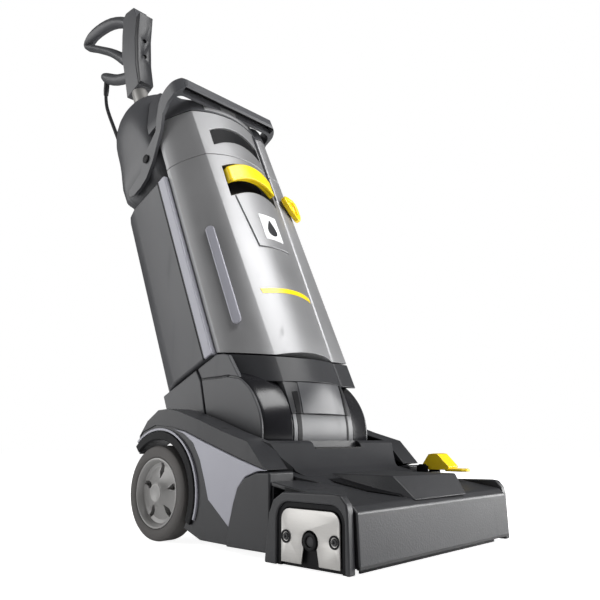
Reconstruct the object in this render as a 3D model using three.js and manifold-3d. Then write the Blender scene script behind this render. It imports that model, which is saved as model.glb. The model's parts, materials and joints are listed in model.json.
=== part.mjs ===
// Wet dry floor scrubber: a powered roller-brush floor washer with a tilting upright body.
// Millimetres, +Z up, the machine's front faces -Y, X runs across its width.
// The upright's pieces are drawn in a group that leans back about the tilt pivot.
import * as THREE from "three";
import { mergeVertices } from "three/addons/utils/BufferGeometryUtils.js";
import Module from "manifold-3d";

const wasm = await Module();
wasm.setup();

// ---- Driving dimensions ----
const GAP = 0.3; // clearance between pieces that meet
const WALL = 3; // moulded covers
const OVERALL_WIDTH = 335;
const LEAN = 24; // degrees that the upright leans back at rest

// Cleaning head, in the frame of the floor below the deck
const FRONT_Y = -199.8; // lower edge of the fascia
const DECK_REAR_Y = -64;
const DECK_HALF_WIDTH = 157;
const FASCIA_TOP_Z = 59;
const FLOOR_GAP = 7; // covers clear the floor by this much
const END_FRONT_Y = -195;
const END_REAR_Y = -79;
const END_TOP_Z = 76;
const PLATE_FRONT_Y = -183;
const PLATE_REAR_Y = -104;
const PLATE_TOP_Z = 59;
const PLATE_THICKNESS = 1.6;
const POD_OUTER_X = 158;
const POD_INNER_X = 118;

// Brush, its drive and the squeegees
const BRUSH_Y = -144;
const BRUSH_RADIUS = 28.5;
const BRUSH_HALF_LENGTH = 143;
const BRUSH_CORE_RADIUS = 17;
const BRUSH_SHAFT_RADIUS = 5;
const MOTOR_Y = -58;
const MOTOR_Z = 45;
const MOTOR_RADIUS = 29;
const MOTOR_HALF_LENGTH = 92;
const BRUSH_PULLEY_RADIUS = 16;
const MOTOR_PULLEY_RADIUS = 9;
const PULLEY_WIDTH = 7;
const BELT_THICKNESS = 2;
const SQUEEGEE_HALF_LENGTH = 140;
const BLADE_THICKNESS = 2.4;

// Wheels
const WHEEL_Y = 134.6;
const WHEEL_RADIUS = 60.3;
const RIM_RADIUS = 44.5;
const WHEEL_OUTER_X = 158.7;
const WHEEL_WIDTH = 29;
const AXLE_RADIUS = 6;
const ARCH_GAP = 7.7; // between tyre and arch
const ARCH_RADIUS = WHEEL_RADIUS + ARCH_GAP;
const SPOKES = 5;

// Tilt pivot and the drum that turns on it
const PIVOT_Y = 68;
const PIVOT_Z = 135;
const DRUM_RADIUS = 87;
const DRUM_HALF_WIDTH = 108;
const PANEL_RISE = 4; // the front panel stands proud of the drum
const PIN_RADIUS = 8;
const CHEEK_INNER_X = 111;
const CHEEK_THICKNESS = 6;

// Upright body: v runs from front to back, w up along the body
const HOUSING_HALF_WIDTH = 112;
const HOUSING_REAR_V = 97;
const HOUSING_FRONT_V = -29;
const HOUSING_TOP_W = 430;
const SHELF_REAR_W = 104;
const SHELF_FRONT_W = 72;
const HEAD_HALF_WIDTH = 105;
const HEAD_TOP_W = 716;
const HEAD_RISE = 116; // from the dome's widest level to its top
const HEAD_DEPTH = 158;
const HEAD_V = 48; // middle of the dome
const TANK_HALF_WIDTH = 104;
const TANK_FRONT_V = -92;
const TANK_BULGE = 16; // how far the front panel crowns
const TANK_CREASE_TOP = 72;
const TANK_CREASE_BOTTOM = 58.6;
const TANK_REAR_V = -31;
const TANK_SPLIT_W = 440;
const TANK_TOP_W = 537;
const VISOR_TOP_W = 562;

// Carry handle, tube, grip and cable
const CARRY_PIVOT_W = 490;
const CARRY_HALF_WIDTH = 112;
const CARRY_THICKNESS = 6;
const CARRY_BAR_FRONT_V = -125;
const CARRY_BAR_DEPTH = 22;
const CARRY_BAR_BOTTOM_W = 551;
const CARRY_BAR_HEIGHT = 20;
const TUBE_RADIUS = 16;
const TUBE_WALL = 1.5;
const TUBE_IN_GRIP = 28; // how far the tube reaches into the grip
const TUBE_V = 91.5;
const TUBE_FOOT_W = 560;
const GRIP_FOOT_W = HEAD_TOP_W + 89;
const GRIP_HALF_WIDTH = 17;
const LEAD_RADIUS = 3.75;
const WINDING_INNER_RADIUS = 30; // to the middle of the innermost turn
const WINDING_LAYERS = 4;
const WINDING_RANKS = 4;
const WINDING_RUN = 164; // straight part of each turn
const WINDING_W = 378; // middle of the winding
const WINDING_V = HOUSING_REAR_V + 1; // its face towards the housing

// ---- Geometry helpers ----
const OPEN = 400; // reach of a cutter that runs out of the part
const rad = THREE.MathUtils.degToRad;

// Points [a, b] on an arc, from one angle to another in degrees.
function arc(a, b, radius, from, to, steps = 12) {
  const points = [];
  for (let i = 0; i <= steps; i++) {
    const t = rad(from + ((to - from) * i) / steps);
    points.push([a + radius * Math.cos(t), b + radius * Math.sin(t)]);
  }
  return points;
}

function rectangle(a0, b0, a1, b1) {
  return [[a0, b0], [a1, b0], [a1, b1], [a0, b1]];
}

// Half an outline mirrored across a = 0.
function mirrored(half) {
  const other = half.map(([a, b]) => [-a, b]).reverse();
  return [...half, ...other];
}

// The outline moved inwards by a distance along each corner's bisector.
function inset(points, distance) {
  const shape = points.map(([a, b]) => new THREE.Vector2(a, b));
  const turn = Math.sign(THREE.ShapeUtils.area(shape));
  return shape.map((corner, i) => {
    const before = shape.at(i - 1);
    const after = shape[(i + 1) % shape.length];
    const d0 = corner.clone().sub(before).normalize();
    const d1 = after.clone().sub(corner).normalize();
    const n0 = new THREE.Vector2(-d0.y, d0.x).multiplyScalar(turn);
    const n1 = new THREE.Vector2(-d1.y, d1.x).multiplyScalar(turn);
    const bisector = n0.add(n1).multiplyScalar(1 / (1 + d0.dot(d1)));
    return corner.clone().addScaledVector(bisector, distance).toArray();
  });
}

function toShape(points) {
  return new THREE.Shape(points.map(([a, b]) => new THREE.Vector2(a, b)));
}

// A prism of an (x, y) outline from z0 to z1.
function prismZ(points, z0, z1, bevel = null) {
  const trim = bevel ? bevel.bevelThickness : 0;
  const geometry = new THREE.ExtrudeGeometry(toShape(points), {
    depth: z1 - z0 - 2 * trim,
    bevelEnabled: Boolean(bevel),
    ...bevel,
  });
  return geometry.translate(0, 0, z0 + trim);
}

// The same with its outline read as (y, z), from x0 to x1.
function prismX(points, x0, x1, bevel = null) {
  const basis = new THREE.Matrix4().makeBasis(
    new THREE.Vector3(0, 1, 0),
    new THREE.Vector3(0, 0, 1),
    new THREE.Vector3(1, 0, 0),
  );
  return prismZ(points, x0, x1, bevel).applyMatrix4(basis);
}

// The same with its outline read as (x, z), from y0 to y1.
function prismY(points, y0, y1) {
  const flipped = points.map(([a, b]) => [a, -b]);
  return prismZ(flipped, y0, y1).rotateX(-Math.PI / 2);
}

function box(x0, x1, y0, y1, z0, z1) {
  return new THREE.BoxGeometry(x1 - x0, y1 - y0, z1 - z0)
    .translate((x0 + x1) / 2, (y0 + y1) / 2, (z0 + z1) / 2);
}

// A cylinder along X.
function rodX(radius, x0, x1, y, z, sides = 24) {
  return new THREE.CylinderGeometry(radius, radius, x1 - x0, sides)
    .rotateZ(Math.PI / 2)
    .translate((x0 + x1) / 2, y, z);
}

// A turned piece about X: profile points are [x, radius].
function turnedX(profile, y, z, sides = 36) {
  const points = profile.map(([x, r]) => new THREE.Vector2(r, x));
  return new THREE.LatheGeometry(points, sides)
    .rotateZ(-Math.PI / 2)
    .translate(0, y, z);
}

// manifold-3d joins and cuts closed meshes.
function solid(geometry) {
  const plain = geometry.index ? geometry.toNonIndexed() : geometry.clone();
  plain.deleteAttribute("normal");
  plain.deleteAttribute("uv");
  const merged = mergeVertices(plain, 1e-4);
  return new wasm.Manifold(new wasm.Mesh({
    numProp: 3,
    vertProperties: merged.attributes.position.array,
    triVerts: new Uint32Array(merged.index.array),
  }));
}

function fromSolid(manifold) {
  const mesh = manifold.getMesh();
  return new THREE.BufferGeometry()
    .setAttribute("position", new THREE.BufferAttribute(mesh.vertProperties, 3))
    .setIndex(new THREE.BufferAttribute(mesh.triVerts, 1));
}

function join(...geometries) {
  return fromSolid(geometries.map(solid).reduce((a, b) => a.add(b)));
}

function cut(geometry, ...cutters) {
  return fromSolid(cutters.map(solid).reduce((a, b) => a.subtract(b), solid(geometry)));
}

function keep(geometry, region) {
  return fromSolid(solid(geometry).intersect(solid(region)));
}

// A copy mirrored to the other side of the machine, with its faces still outwards.
function mirrorX(geometry) {
  const copy = geometry.clone().scale(-1, 1, 1);
  const plain = copy.index ? copy.toNonIndexed() : copy;
  const position = plain.attributes.position;
  for (let i = 0; i < position.count; i += 3) {
    const first = new THREE.Vector3().fromBufferAttribute(position, i);
    const last = new THREE.Vector3().fromBufferAttribute(position, i + 2);
    position.setXYZ(i, last.x, last.y, last.z);
    position.setXYZ(i + 2, first.x, first.y, first.z);
  }
  return plain;
}

// ---- Materials ----
function finish(color, roughness, metalness = 0) {
  return new THREE.MeshStandardMaterial({ color, roughness, metalness });
}
const dark = finish(0x3a3b3d, 0.6);
const mid = finish(0x55565a, 0.5);
const light = finish(0x85868a, 0.42);
const black = finish(0x151516, 0.7);
const yellow = finish(0xf5cf1c, 0.4);
const steel = finish(0xd6d3ce, 0.35, 0.9);
const rubber = finish(0x1d1d1e, 0.85);
const tyreGrey = finish(0x5d5a58, 0.8);
const rimGrey = finish(0x8e8c8a, 0.5);
const bristle = finish(0xc4311f, 0.8);

const machine = new THREE.Group();
const base = new THREE.Group();
const upright = new THREE.Group();
upright.position.set(0, PIVOT_Y, PIVOT_Z);
upright.rotation.x = -rad(LEAN);
machine.add(base, upright);

function place(group, name, geometry, material) {
  const mesh = new THREE.Mesh(geometry, material);
  mesh.name = name;
  group.add(mesh);
  return mesh;
}

// The same piece on the left (-X) and the right, drawn for the right.
function placePair(group, name, geometry, material) {
  place(group, name + "_left", mirrorX(geometry), material);
  place(group, name + "_right", geometry, material);
}

// ---- Cleaning head ----
const cheekOuterX = CHEEK_INNER_X + CHEEK_THICKNESS;
const endInnerX = DECK_HALF_WIDTH + GAP;
const endOuterX = OVERALL_WIDTH / 2;
const plateOuterX = endOuterX - 1.2;
const plateInnerX = plateOuterX - PLATE_THICKNESS;
const trayFrontY = PLATE_REAR_Y + 7;
const TRAY_FLOOR_Z = 8;
const TRAY_THICKNESS = 4;

function chassis() {
  const cheek = [
    [trayFrontY, TRAY_FLOOR_Z],
    [60, TRAY_FLOOR_Z],
    [WHEEL_Y, WHEEL_RADIUS - 16],
    ...arc(WHEEL_Y, WHEEL_RADIUS, 14, -60, 60, 6),
    ...arc(PIVOT_Y, PIVOT_Z, 17, 10, 170, 8),
    [20, 84],
    [trayFrontY, 62],
  ];
  const pinBore = rodX(PIN_RADIUS + GAP, -OPEN, OPEN, PIVOT_Y, PIVOT_Z);
  const axleBore = rodX(AXLE_RADIUS + GAP, -OPEN, OPEN, WHEEL_Y, WHEEL_RADIUS);
  const floorTop = TRAY_FLOOR_Z + TRAY_THICKNESS;
  const tray = join(
    prismX(cheek, CHEEK_INNER_X, cheekOuterX),
    prismX(cheek, -cheekOuterX, -CHEEK_INNER_X),
    box(-cheekOuterX, cheekOuterX, trayFrontY, 58, TRAY_FLOOR_Z, floorTop),
    box(-cheekOuterX, cheekOuterX, trayFrontY, trayFrontY + WALL, TRAY_FLOOR_Z, 62),
  );
  const shaftBore = rodX(4 + 2, 0, OPEN, MOTOR_Y, MOTOR_Z);
  return cut(tray, pinBore, axleBore, shaftBore);
}

// The sloped deck over the brush, with the raised tongue down its middle.
function deckCover() {
  const skin = [
    [FRONT_Y, FLOOR_GAP],
    [FRONT_Y + 2.9, FASCIA_TOP_Z],
    [-188, 65.5],
    [DECK_REAR_Y, 86],
  ];
  const under = inset([...skin, [DECK_REAR_Y, FLOOR_GAP]], WALL).slice(0, 4);
  under[0][1] = FLOOR_GAP;
  under[3][0] = DECK_REAR_Y;
  const shell = prismX([...skin, ...under.reverse()], -DECK_HALF_WIDTH, DECK_HALF_WIDTH);
  const tongue = [[-187, 64], [-180, 72.5], [DECK_REAR_Y, 91], [DECK_REAR_Y, 84]];
  const podRoom = box(POD_INNER_X - GAP, OPEN, END_REAR_Y, OPEN, 0, OPEN);
  return cut(join(shell, prismX(tongue, -50, 50)), podRoom, mirrorX(podRoom));
}

// Saddle, wheel arches and the side panels, hollow from inside and from the front.
const SADDLE_FRONT_Y = -41;
const archTopZ = WHEEL_RADIUS + ARCH_RADIUS;
const fenderTailY = WHEEL_Y + ARCH_RADIUS * Math.cos(rad(45)) + 5.3;
const fenderTailZ = WHEEL_RADIUS + ARCH_RADIUS * Math.sin(rad(45)) + 8.6;
function podOutline() {
  return [
    [END_REAR_Y + GAP, FLOOR_GAP + 1],
    [46, FLOOR_GAP + 3],
    ...arc(WHEEL_Y, WHEEL_RADIUS, ARCH_RADIUS, 215, 45, 14),
    [fenderTailY, fenderTailZ],
    [fenderTailY - 5, fenderTailZ + 16],
    [141, archTopZ + 38.7],
    [96, archTopZ + 35.7],
    [8, 138],
    [-37, 126],
    [SADDLE_FRONT_Y, 95],
    [END_REAR_Y + GAP, END_TOP_Z + 2],
  ];
}

function bodyCover() {
  const outline = podOutline();
  const room = cut(
    prismX(inset(outline, WALL), POD_INNER_X - 1, POD_OUTER_X - WALL),
    box(0, OPEN, 30, OPEN, 0, 120),
  );
  const front = box(POD_INNER_X - 1, POD_OUTER_X - WALL, -OPEN, SADDLE_FRONT_Y, 11, 72);
  const pod = cut(prismX(outline, POD_INNER_X, POD_OUTER_X), room, front);
  const rim = arc(PIVOT_Y, PIVOT_Z, DRUM_RADIUS + PANEL_RISE + 1.2, 207, 186, 6);
  const bridge = [[-62, 92], [SADDLE_FRONT_Y - 3, 112], [-37, 126], ...rim.reverse()];
  const saddle = prismX(bridge, -POD_INNER_X - 1, POD_INNER_X + 1);
  return join(pod, mirrorX(pod), saddle);
}

function endOutline() {
  return [
    [END_FRONT_Y, 2],
    [END_REAR_Y, 2],
    [END_REAR_Y, END_TOP_Z - 4],
    [END_REAR_Y - 4, END_TOP_Z],
    [END_FRONT_Y + 22, END_TOP_Z - 8],
    [END_FRONT_Y + 4, 52],
  ];
}

function plateOutline() {
  const corner = 11;
  return [
    [PLATE_FRONT_Y, 6],
    [BRUSH_Y - 12, 6],
    ...arc(BRUSH_Y, BRUSH_RADIUS, 11, 215, -35, 12),
    [BRUSH_Y + 12, 6],
    [PLATE_REAR_Y, 6],
    ...arc(PLATE_REAR_Y - corner, PLATE_TOP_Z - corner, corner, 0, 90, 4),
    ...arc(PLATE_FRONT_Y + corner, PLATE_TOP_Z - corner, corner, 90, 180, 4),
  ];
}

function endCover() {
  const pocket = rectangle(PLATE_FRONT_Y - GAP, -OPEN, PLATE_REAR_Y + GAP, PLATE_TOP_Z + GAP);
  return cut(
    prismX(endOutline(), endInnerX, endOuterX),
    prismX(pocket, plateInnerX - GAP, OPEN),
    rodX(9 + GAP, 0, OPEN, BRUSH_Y, BRUSH_RADIUS),
  );
}

const SCREW_Z = 31;
const SCREW_INSET = 7;
const SCREW_RADIUS = 3.4;
const screwPlaces = [PLATE_FRONT_Y + SCREW_INSET, PLATE_REAR_Y - SCREW_INSET];

function sidePlate() {
  const holes = screwPlaces.map((y) => rodX(SCREW_RADIUS + GAP, 0, OPEN, y, SCREW_Z, 16));
  return cut(prismX(plateOutline(), plateInnerX, plateOuterX), ...holes);
}

function plateScrew(y) {
  const head = rodX(SCREW_RADIUS, plateInnerX, plateOuterX + 1, y, SCREW_Z, 16);
  return cut(head, rodX(1.5, plateOuterX - 0.6, OPEN, y, SCREW_Z, 6));
}

function brushBearing() {
  const ring = [
    [endInnerX + 0.5, BRUSH_SHAFT_RADIUS + GAP],
    [endInnerX + 0.5, 9],
    [plateOuterX + 1, 9],
    [plateOuterX + 1, BRUSH_SHAFT_RADIUS + GAP],
    [endInnerX + 0.5, BRUSH_SHAFT_RADIUS + GAP],
  ];
  return turnedX(ring, BRUSH_Y, BRUSH_RADIUS, 24);
}

function brushMotor() {
  const half = MOTOR_HALF_LENGTH;
  return turnedX([
    [-half, 0],
    [-half, 22],
    [-half + 8, MOTOR_RADIUS],
    [half - 14, MOTOR_RADIUS],
    [half - 6, 20],
    [half, 10],
    [half, 0],
  ], MOTOR_Y, MOTOR_Z, 24);
}

function rollerBrush() {
  const end = BRUSH_HALF_LENGTH;
  const shaftEnd = plateOuterX - 0.5;
  return turnedX([
    [-shaftEnd, 0],
    [-shaftEnd, BRUSH_SHAFT_RADIUS],
    [-end - 1, BRUSH_SHAFT_RADIUS],
    [-end, BRUSH_CORE_RADIUS],
    [-end + 4, BRUSH_RADIUS],
    [end - 4, BRUSH_RADIUS],
    [end, BRUSH_CORE_RADIUS],
    [end + 1, BRUSH_SHAFT_RADIUS],
    [shaftEnd, BRUSH_SHAFT_RADIUS],
    [shaftEnd, 0],
  ], BRUSH_Y, BRUSH_RADIUS, 28);
}

const pulleyX0 = BRUSH_HALF_LENGTH + 2.5;
const pulleyX1 = pulleyX0 + PULLEY_WIDTH;

function brushPulley() {
  const bore = BRUSH_SHAFT_RADIUS + GAP;
  return turnedX([
    [pulleyX0, bore],
    [pulleyX0, BRUSH_PULLEY_RADIUS],
    [pulleyX1, BRUSH_PULLEY_RADIUS],
    [pulleyX1, bore],
    [pulleyX0, bore],
  ], BRUSH_Y, BRUSH_RADIUS, 24);
}

// The motor's pulley and its shaft.
function motorPulley() {
  const shaft = MOTOR_HALF_LENGTH + GAP;
  return turnedX([
    [shaft, 0],
    [shaft, 4],
    [pulleyX0, 4],
    [pulleyX0, MOTOR_PULLEY_RADIUS],
    [pulleyX1, MOTOR_PULLEY_RADIUS],
    [pulleyX1, 0],
  ], MOTOR_Y, MOTOR_Z, 20);
}

// The outline of a belt round both pulleys, at a distance from their rims.
function beltLine(offset) {
  const away = Math.atan2(MOTOR_Z - BRUSH_RADIUS, MOTOR_Y - BRUSH_Y);
  const span = Math.hypot(MOTOR_Z - BRUSH_RADIUS, MOTOR_Y - BRUSH_Y);
  const lean = Math.asin((BRUSH_PULLEY_RADIUS - MOTOR_PULLEY_RADIUS) / span);
  const middle = THREE.MathUtils.radToDeg(away);
  const side = 90 - THREE.MathUtils.radToDeg(lean);
  return [
    ...arc(BRUSH_Y, BRUSH_RADIUS, BRUSH_PULLEY_RADIUS + offset, middle + side, middle + 360 - side, 16),
    ...arc(MOTOR_Y, MOTOR_Z, MOTOR_PULLEY_RADIUS + offset, middle - side, middle + side, 12),
  ];
}

function driveBelt() {
  const outer = prismX(beltLine(GAP + BELT_THICKNESS), pulleyX0 + 1, pulleyX1 - 1);
  return cut(outer, prismX(beltLine(GAP), 0, OPEN));
}

// A squeegee is a rubber blade held in a plastic channel, raised by the pedal.
function squeegeeHolder(y) {
  const outline = [[y - 4, 12], [y + 4, 12], [y + 4, 26], [y + 2, 30], [y - 2, 30], [y - 4, 26]];
  const channel = prismX(outline, -SQUEEGEE_HALF_LENGTH, SQUEEGEE_HALF_LENGTH);
  const slot = box(-OPEN, OPEN, y - BLADE_THICKNESS / 2 - GAP, y + BLADE_THICKNESS / 2 + GAP, 0, 20);
  return cut(channel, slot);
}

function squeegeeBlade(y) {
  const half = SQUEEGEE_HALF_LENGTH;
  return box(-half, half, y - BLADE_THICKNESS / 2, y + BLADE_THICKNESS / 2, GAP, 20 - GAP);
}

// Foot pedal on the right-hand end of the head.
const PEDAL_X = 138;
const PEDAL_HALF_WIDTH = 13;
const PEDAL_HINGE_Y = -95;
const PEDAL_HINGE_Z = 90;

function footPedal() {
  const x0 = PEDAL_X - PEDAL_HALF_WIDTH;
  const x1 = PEDAL_X + PEDAL_HALF_WIDTH;
  const hub = rodX(5, x0, x1, PEDAL_HINGE_Y, PEDAL_HINGE_Z, 16);
  const tread = [[-92, 93], [-102, 108], [-116, 110], [-134, 92], [-132, 88], [-96, 88]];
  const toe = box(PEDAL_X - 10, PEDAL_X + 10, -156, -128, 86, 90);
  const plate = prismX(tread, x0, x1);
  const bore = rodX(2.5 + GAP, -OPEN, OPEN, PEDAL_HINGE_Y, PEDAL_HINGE_Z, 16);
  return cut(join(hub, plate, toe), bore);
}

function pedalBracket() {
  const ear = [[-103, 82.7], [-86, 82.7], [-86, 92], [-90, 95], [-99, 95], [-103, 92]];
  const clear = PEDAL_HALF_WIDTH + 1;
  return join(
    prismX(ear, PEDAL_X - clear - 3, PEDAL_X - clear),
    prismX(ear, PEDAL_X + clear, PEDAL_X + clear + 3),
    box(PEDAL_X - clear - 3, PEDAL_X + clear + 3, -103, -86, 82.7, 84.5),
    rodX(2.5, PEDAL_X - clear - 1, PEDAL_X + clear + 1, PEDAL_HINGE_Y, PEDAL_HINGE_Z, 16),
  );
}

function tyre() {
  const inner = WHEEL_OUTER_X - WHEEL_WIDTH;
  const r = WHEEL_RADIUS;
  return turnedX([
    [inner, RIM_RADIUS + GAP],
    [inner, r - 5],
    [inner + 5, r],
    [WHEEL_OUTER_X - 5, r],
    [WHEEL_OUTER_X, r - 5],
    [WHEEL_OUTER_X, RIM_RADIUS + GAP],
    [inner, RIM_RADIUS + GAP],
  ], WHEEL_Y, WHEEL_RADIUS, 48);
}

// The rim's dish has one window between each pair of spokes.
function rim() {
  const inner = WHEEL_OUTER_X - WHEEL_WIDTH + 1;
  const outer = WHEEL_OUTER_X - 1;
  const disc = turnedX([
    [inner, AXLE_RADIUS + GAP],
    [inner, RIM_RADIUS],
    [outer, RIM_RADIUS],
    [outer, RIM_RADIUS - 4],
    [outer - 8, RIM_RADIUS - 6],
    [outer - 8, 14],
    [outer, 12],
    [outer, 0],
    [outer - 4, 0],
    [outer - 4, AXLE_RADIUS + GAP],
    [inner, AXLE_RADIUS + GAP],
  ], WHEEL_Y, WHEEL_RADIUS, 40);
  const windows = [];
  for (let i = 0; i < SPOKES; i++) {
    const start = (360 / SPOKES) * i + 13;
    const end = (360 / SPOKES) * (i + 1) - 13;
    const outline = [
      ...arc(WHEEL_Y, WHEEL_RADIUS, RIM_RADIUS - 8, start - 4, end + 4, 6),
      ...arc(WHEEL_Y, WHEEL_RADIUS, 17, end - 3, start + 3, 2),
    ];
    windows.push(prismX(outline, 0, OPEN));
  }
  return cut(disc, ...windows);
}

place(base, "chassis", chassis(), black);
place(base, "deck_cover", deckCover(), dark);
place(base, "body_cover", bodyCover(), mid);
placePair(base, "end_cover", endCover(), dark);
placePair(base, "side_plate", sidePlate(), steel);
placePair(base, "plate_screw_front", plateScrew(screwPlaces[0]), steel);
placePair(base, "plate_screw_rear", plateScrew(screwPlaces[1]), steel);
placePair(base, "brush_bearing", brushBearing(), black);
const axleEnd = WHEEL_OUTER_X - 6;
place(base, "axle", rodX(AXLE_RADIUS, -axleEnd, axleEnd, WHEEL_Y, WHEEL_RADIUS), steel);
place(base, "brush_motor", brushMotor(), black);
place(base, "drive_belt", driveBelt(), rubber);
const pin = rodX(PIN_RADIUS, DRUM_HALF_WIDTH - 5, cheekOuterX, PIVOT_Y, PIVOT_Z);
placePair(base, "tilt_pin", pin, steel);
place(base, "pedal_bracket", pedalBracket(), dark);
place(base, "roller_brush", rollerBrush(), bristle);
place(base, "brush_pulley", brushPulley(), black);
place(base, "motor_pulley", motorPulley(), black);
placePair(base, "tyre", tyre(), tyreGrey);
placePair(base, "rim", rim(), rimGrey);
const frontSqueegeeY = BRUSH_Y - BRUSH_RADIUS - 13;
const rearSqueegeeY = BRUSH_Y + BRUSH_RADIUS + 9;
place(base, "squeegee_front_holder", squeegeeHolder(frontSqueegeeY), dark);
place(base, "squeegee_front_blade", squeegeeBlade(frontSqueegeeY), rubber);
place(base, "squeegee_rear_holder", squeegeeHolder(rearSqueegeeY), dark);
place(base, "squeegee_rear_blade", squeegeeBlade(rearSqueegeeY), rubber);
place(base, "foot_pedal", footPedal(), yellow);

// ---- Upright body, drawn about the tilt pivot ----
const SHELF = [HOUSING_FRONT_V - 2, SHELF_REAR_W];

// The drum that turns on the tilt pins, with the shelf that the tank stands on.
function knuckleHousing() {
  const outline = [
    [TANK_FRONT_V + 1, SHELF_FRONT_W],
    ...arc(0, 0, DRUM_RADIUS, 153.4, 374.6, 24),
    [98, 60],
    [98, SHELF_REAR_W],
    SHELF,
  ];
  const room = prismX(inset(outline, WALL), -DRUM_HALF_WIDTH + WALL, DRUM_HALF_WIDTH - WALL);
  const top = box(-90, 90, HOUSING_FRONT_V + 6, 88, 60, OPEN);
  const bore = rodX(PIN_RADIUS + GAP, -OPEN, OPEN, 0, 0);
  const shell = prismX(outline, -DRUM_HALF_WIDTH, DRUM_HALF_WIDTH);
  return cut(shell, room, top, bore);
}

// A raised panel down the front of the drum.
function knucklePanel() {
  const outer = arc(0, 0, DRUM_RADIUS + PANEL_RISE, 188, 153.4, 8);
  const inner = arc(0, 0, DRUM_RADIUS + GAP, 153.4, 188, 8);
  return prismX([...outer, ...inner], -56, 56);
}

function housingOutline() {
  return mirrored([
    [HOUSING_HALF_WIDTH, HOUSING_FRONT_V],
    [HOUSING_HALF_WIDTH, 62],
    [HOUSING_HALF_WIDTH - 6, 82],
    [HOUSING_HALF_WIDTH - 22, HOUSING_REAR_V],
  ]);
}

function rearHousing() {
  const outline = housingOutline();
  const shell = prismZ(outline, SHELF_REAR_W + GAP, HOUSING_TOP_W);
  return cut(shell, prismZ(inset(outline, WALL), 0, OPEN * 2));
}

// The dome over the top of the housing, with the visor that covers the tank's top edge.
function headCover() {
  const domeCentreW = HEAD_TOP_W - HEAD_RISE;
  const neckTopW = domeCentreW - 10;
  const crown = new THREE.SphereGeometry(1, 32, 20)
    .rotateX(Math.PI / 2)
    .scale(HEAD_HALF_WIDTH, HEAD_DEPTH / 2, HEAD_RISE)
    .translate(0, HEAD_V, domeCentreW);
  const neckOutline = mirrored([
    [HEAD_HALF_WIDTH, HOUSING_FRONT_V + 1],
    [HEAD_HALF_WIDTH, 60],
    [HEAD_HALF_WIDTH - 18, HOUSING_REAR_V - 1],
  ]);
  const neck = prismZ(neckOutline, HOUSING_TOP_W + GAP, neckTopW);
  const visorOutline = [
    [TANK_FRONT_V, TANK_TOP_W + 1],
    [HOUSING_FRONT_V + 8, TANK_TOP_W + 1],
    [HOUSING_FRONT_V + 8, domeCentreW + 40],
    [-40, domeCentreW + 22],
    [-60, domeCentreW - 20],
    [TANK_FRONT_V, VISOR_TOP_W],
  ];
  const visor = prismX(visorOutline, -98, 98);
  const visorRoom = prismX(inset(visorOutline, WALL), -95, 95);
  const visorDuct = box(-80, 80, HOUSING_FRONT_V - 6, HOUSING_FRONT_V + 16, TANK_TOP_W + 1 + WALL, 572);
  const inside = new THREE.SphereGeometry(1, 24, 16)
    .rotateX(Math.PI / 2)
    .scale(HEAD_HALF_WIDTH - WALL, HEAD_DEPTH / 2 - WALL, HEAD_RISE - WALL)
    .translate(0, HEAD_V, domeCentreW);
  const neckRoom = prismZ(inset(neckOutline, WALL), HOUSING_TOP_W - 1, neckTopW - 15);
  const behindNeck = box(-OPEN, OPEN, HOUSING_REAR_V - 1, OPEN, 0, 530);
  const socket = new THREE.CylinderGeometry(TUBE_RADIUS + GAP, TUBE_RADIUS + GAP, OPEN, 24)
    .rotateX(Math.PI / 2)
    .translate(0, TUBE_V, TUBE_FOOT_W - GAP + OPEN / 2);
  return cut(join(crown, neck, visor), inside, neckRoom, visorRoom, visorDuct, behindNeck, socket);
}

// ---- Tank ----
function tankOutline() {
  const crown = [];
  for (let i = 0; i <= 8; i++) {
    const x = TANK_CREASE_TOP * (1 - i / 4);
    const share = x / TANK_CREASE_TOP;
    crown.push([x, TANK_FRONT_V - TANK_BULGE * (1 - share * share)]);
  }
  return [
    ...crown,
    [-TANK_HALF_WIDTH, -44],
    [-TANK_HALF_WIDTH, TANK_REAR_V],
    [TANK_HALF_WIDTH, TANK_REAR_V],
    [TANK_HALF_WIDTH, -44],
  ];
}

// The front panel narrows towards the bottom.
function narrow(geometry) {
  const position = geometry.attributes.position;
  for (let i = 0; i < position.count; i++) {
    if (position.getY(i) > TANK_FRONT_V + 6) continue;
    const share = (position.getZ(i) - SHELF_FRONT_W) / (TANK_TOP_W - SHELF_FRONT_W);
    const crease = THREE.MathUtils.lerp(TANK_CREASE_BOTTOM, TANK_CREASE_TOP, share);
    position.setX(i, (position.getX(i) * crease) / TANK_CREASE_TOP);
  }
  return geometry;
}

function belowShelf(clearance) {
  const front = [TANK_FRONT_V + 1, SHELF_FRONT_W + clearance];
  const rise = (SHELF[1] - SHELF_FRONT_W) / (SHELF[0] - front[0]);
  const reach = 60;
  const outline = [
    [front[0] - reach, front[1] - reach * rise],
    [SHELF[0] + reach, SHELF[1] + clearance + reach * rise],
    [SHELF[0] + reach, -OPEN],
    [front[0] - reach, -OPEN],
  ];
  return prismX(outline, -OPEN, OPEN);
}

function tankShell() {
  const outline = tankOutline();
  const outer = narrow(prismZ(outline, 40, TANK_SPLIT_W));
  const room = narrow(prismZ(inset(outline, WALL), 40, OPEN * 2));
  const body = cut(outer, belowShelf(1));
  const hollow = cut(room, belowShelf(1 + WALL));
  const gripRecess = box(-52, 52, -OPEN, TANK_FRONT_V + 16, 352, 416);
  const recessWall = keep(box(-55, 55, -OPEN, TANK_FRONT_V + 19, 349, 419), outer);
  return cut(join(cut(body, hollow), recessWall), gripRecess);
}

function tankLid() {
  const outline = tankOutline();
  const outer = narrow(prismZ(outline, TANK_SPLIT_W + GAP, TANK_TOP_W));
  const room = narrow(prismZ(inset(outline, WALL), 0, TANK_TOP_W - WALL));
  const slot = box(-50, 50, -OPEN, TANK_FRONT_V + 24, 466, 506);
  const slotWall = keep(box(-53, 53, -OPEN, TANK_FRONT_V + 27, 463, 509), outer);
  return cut(join(cut(outer, room), slotWall), slot);
}

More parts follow.
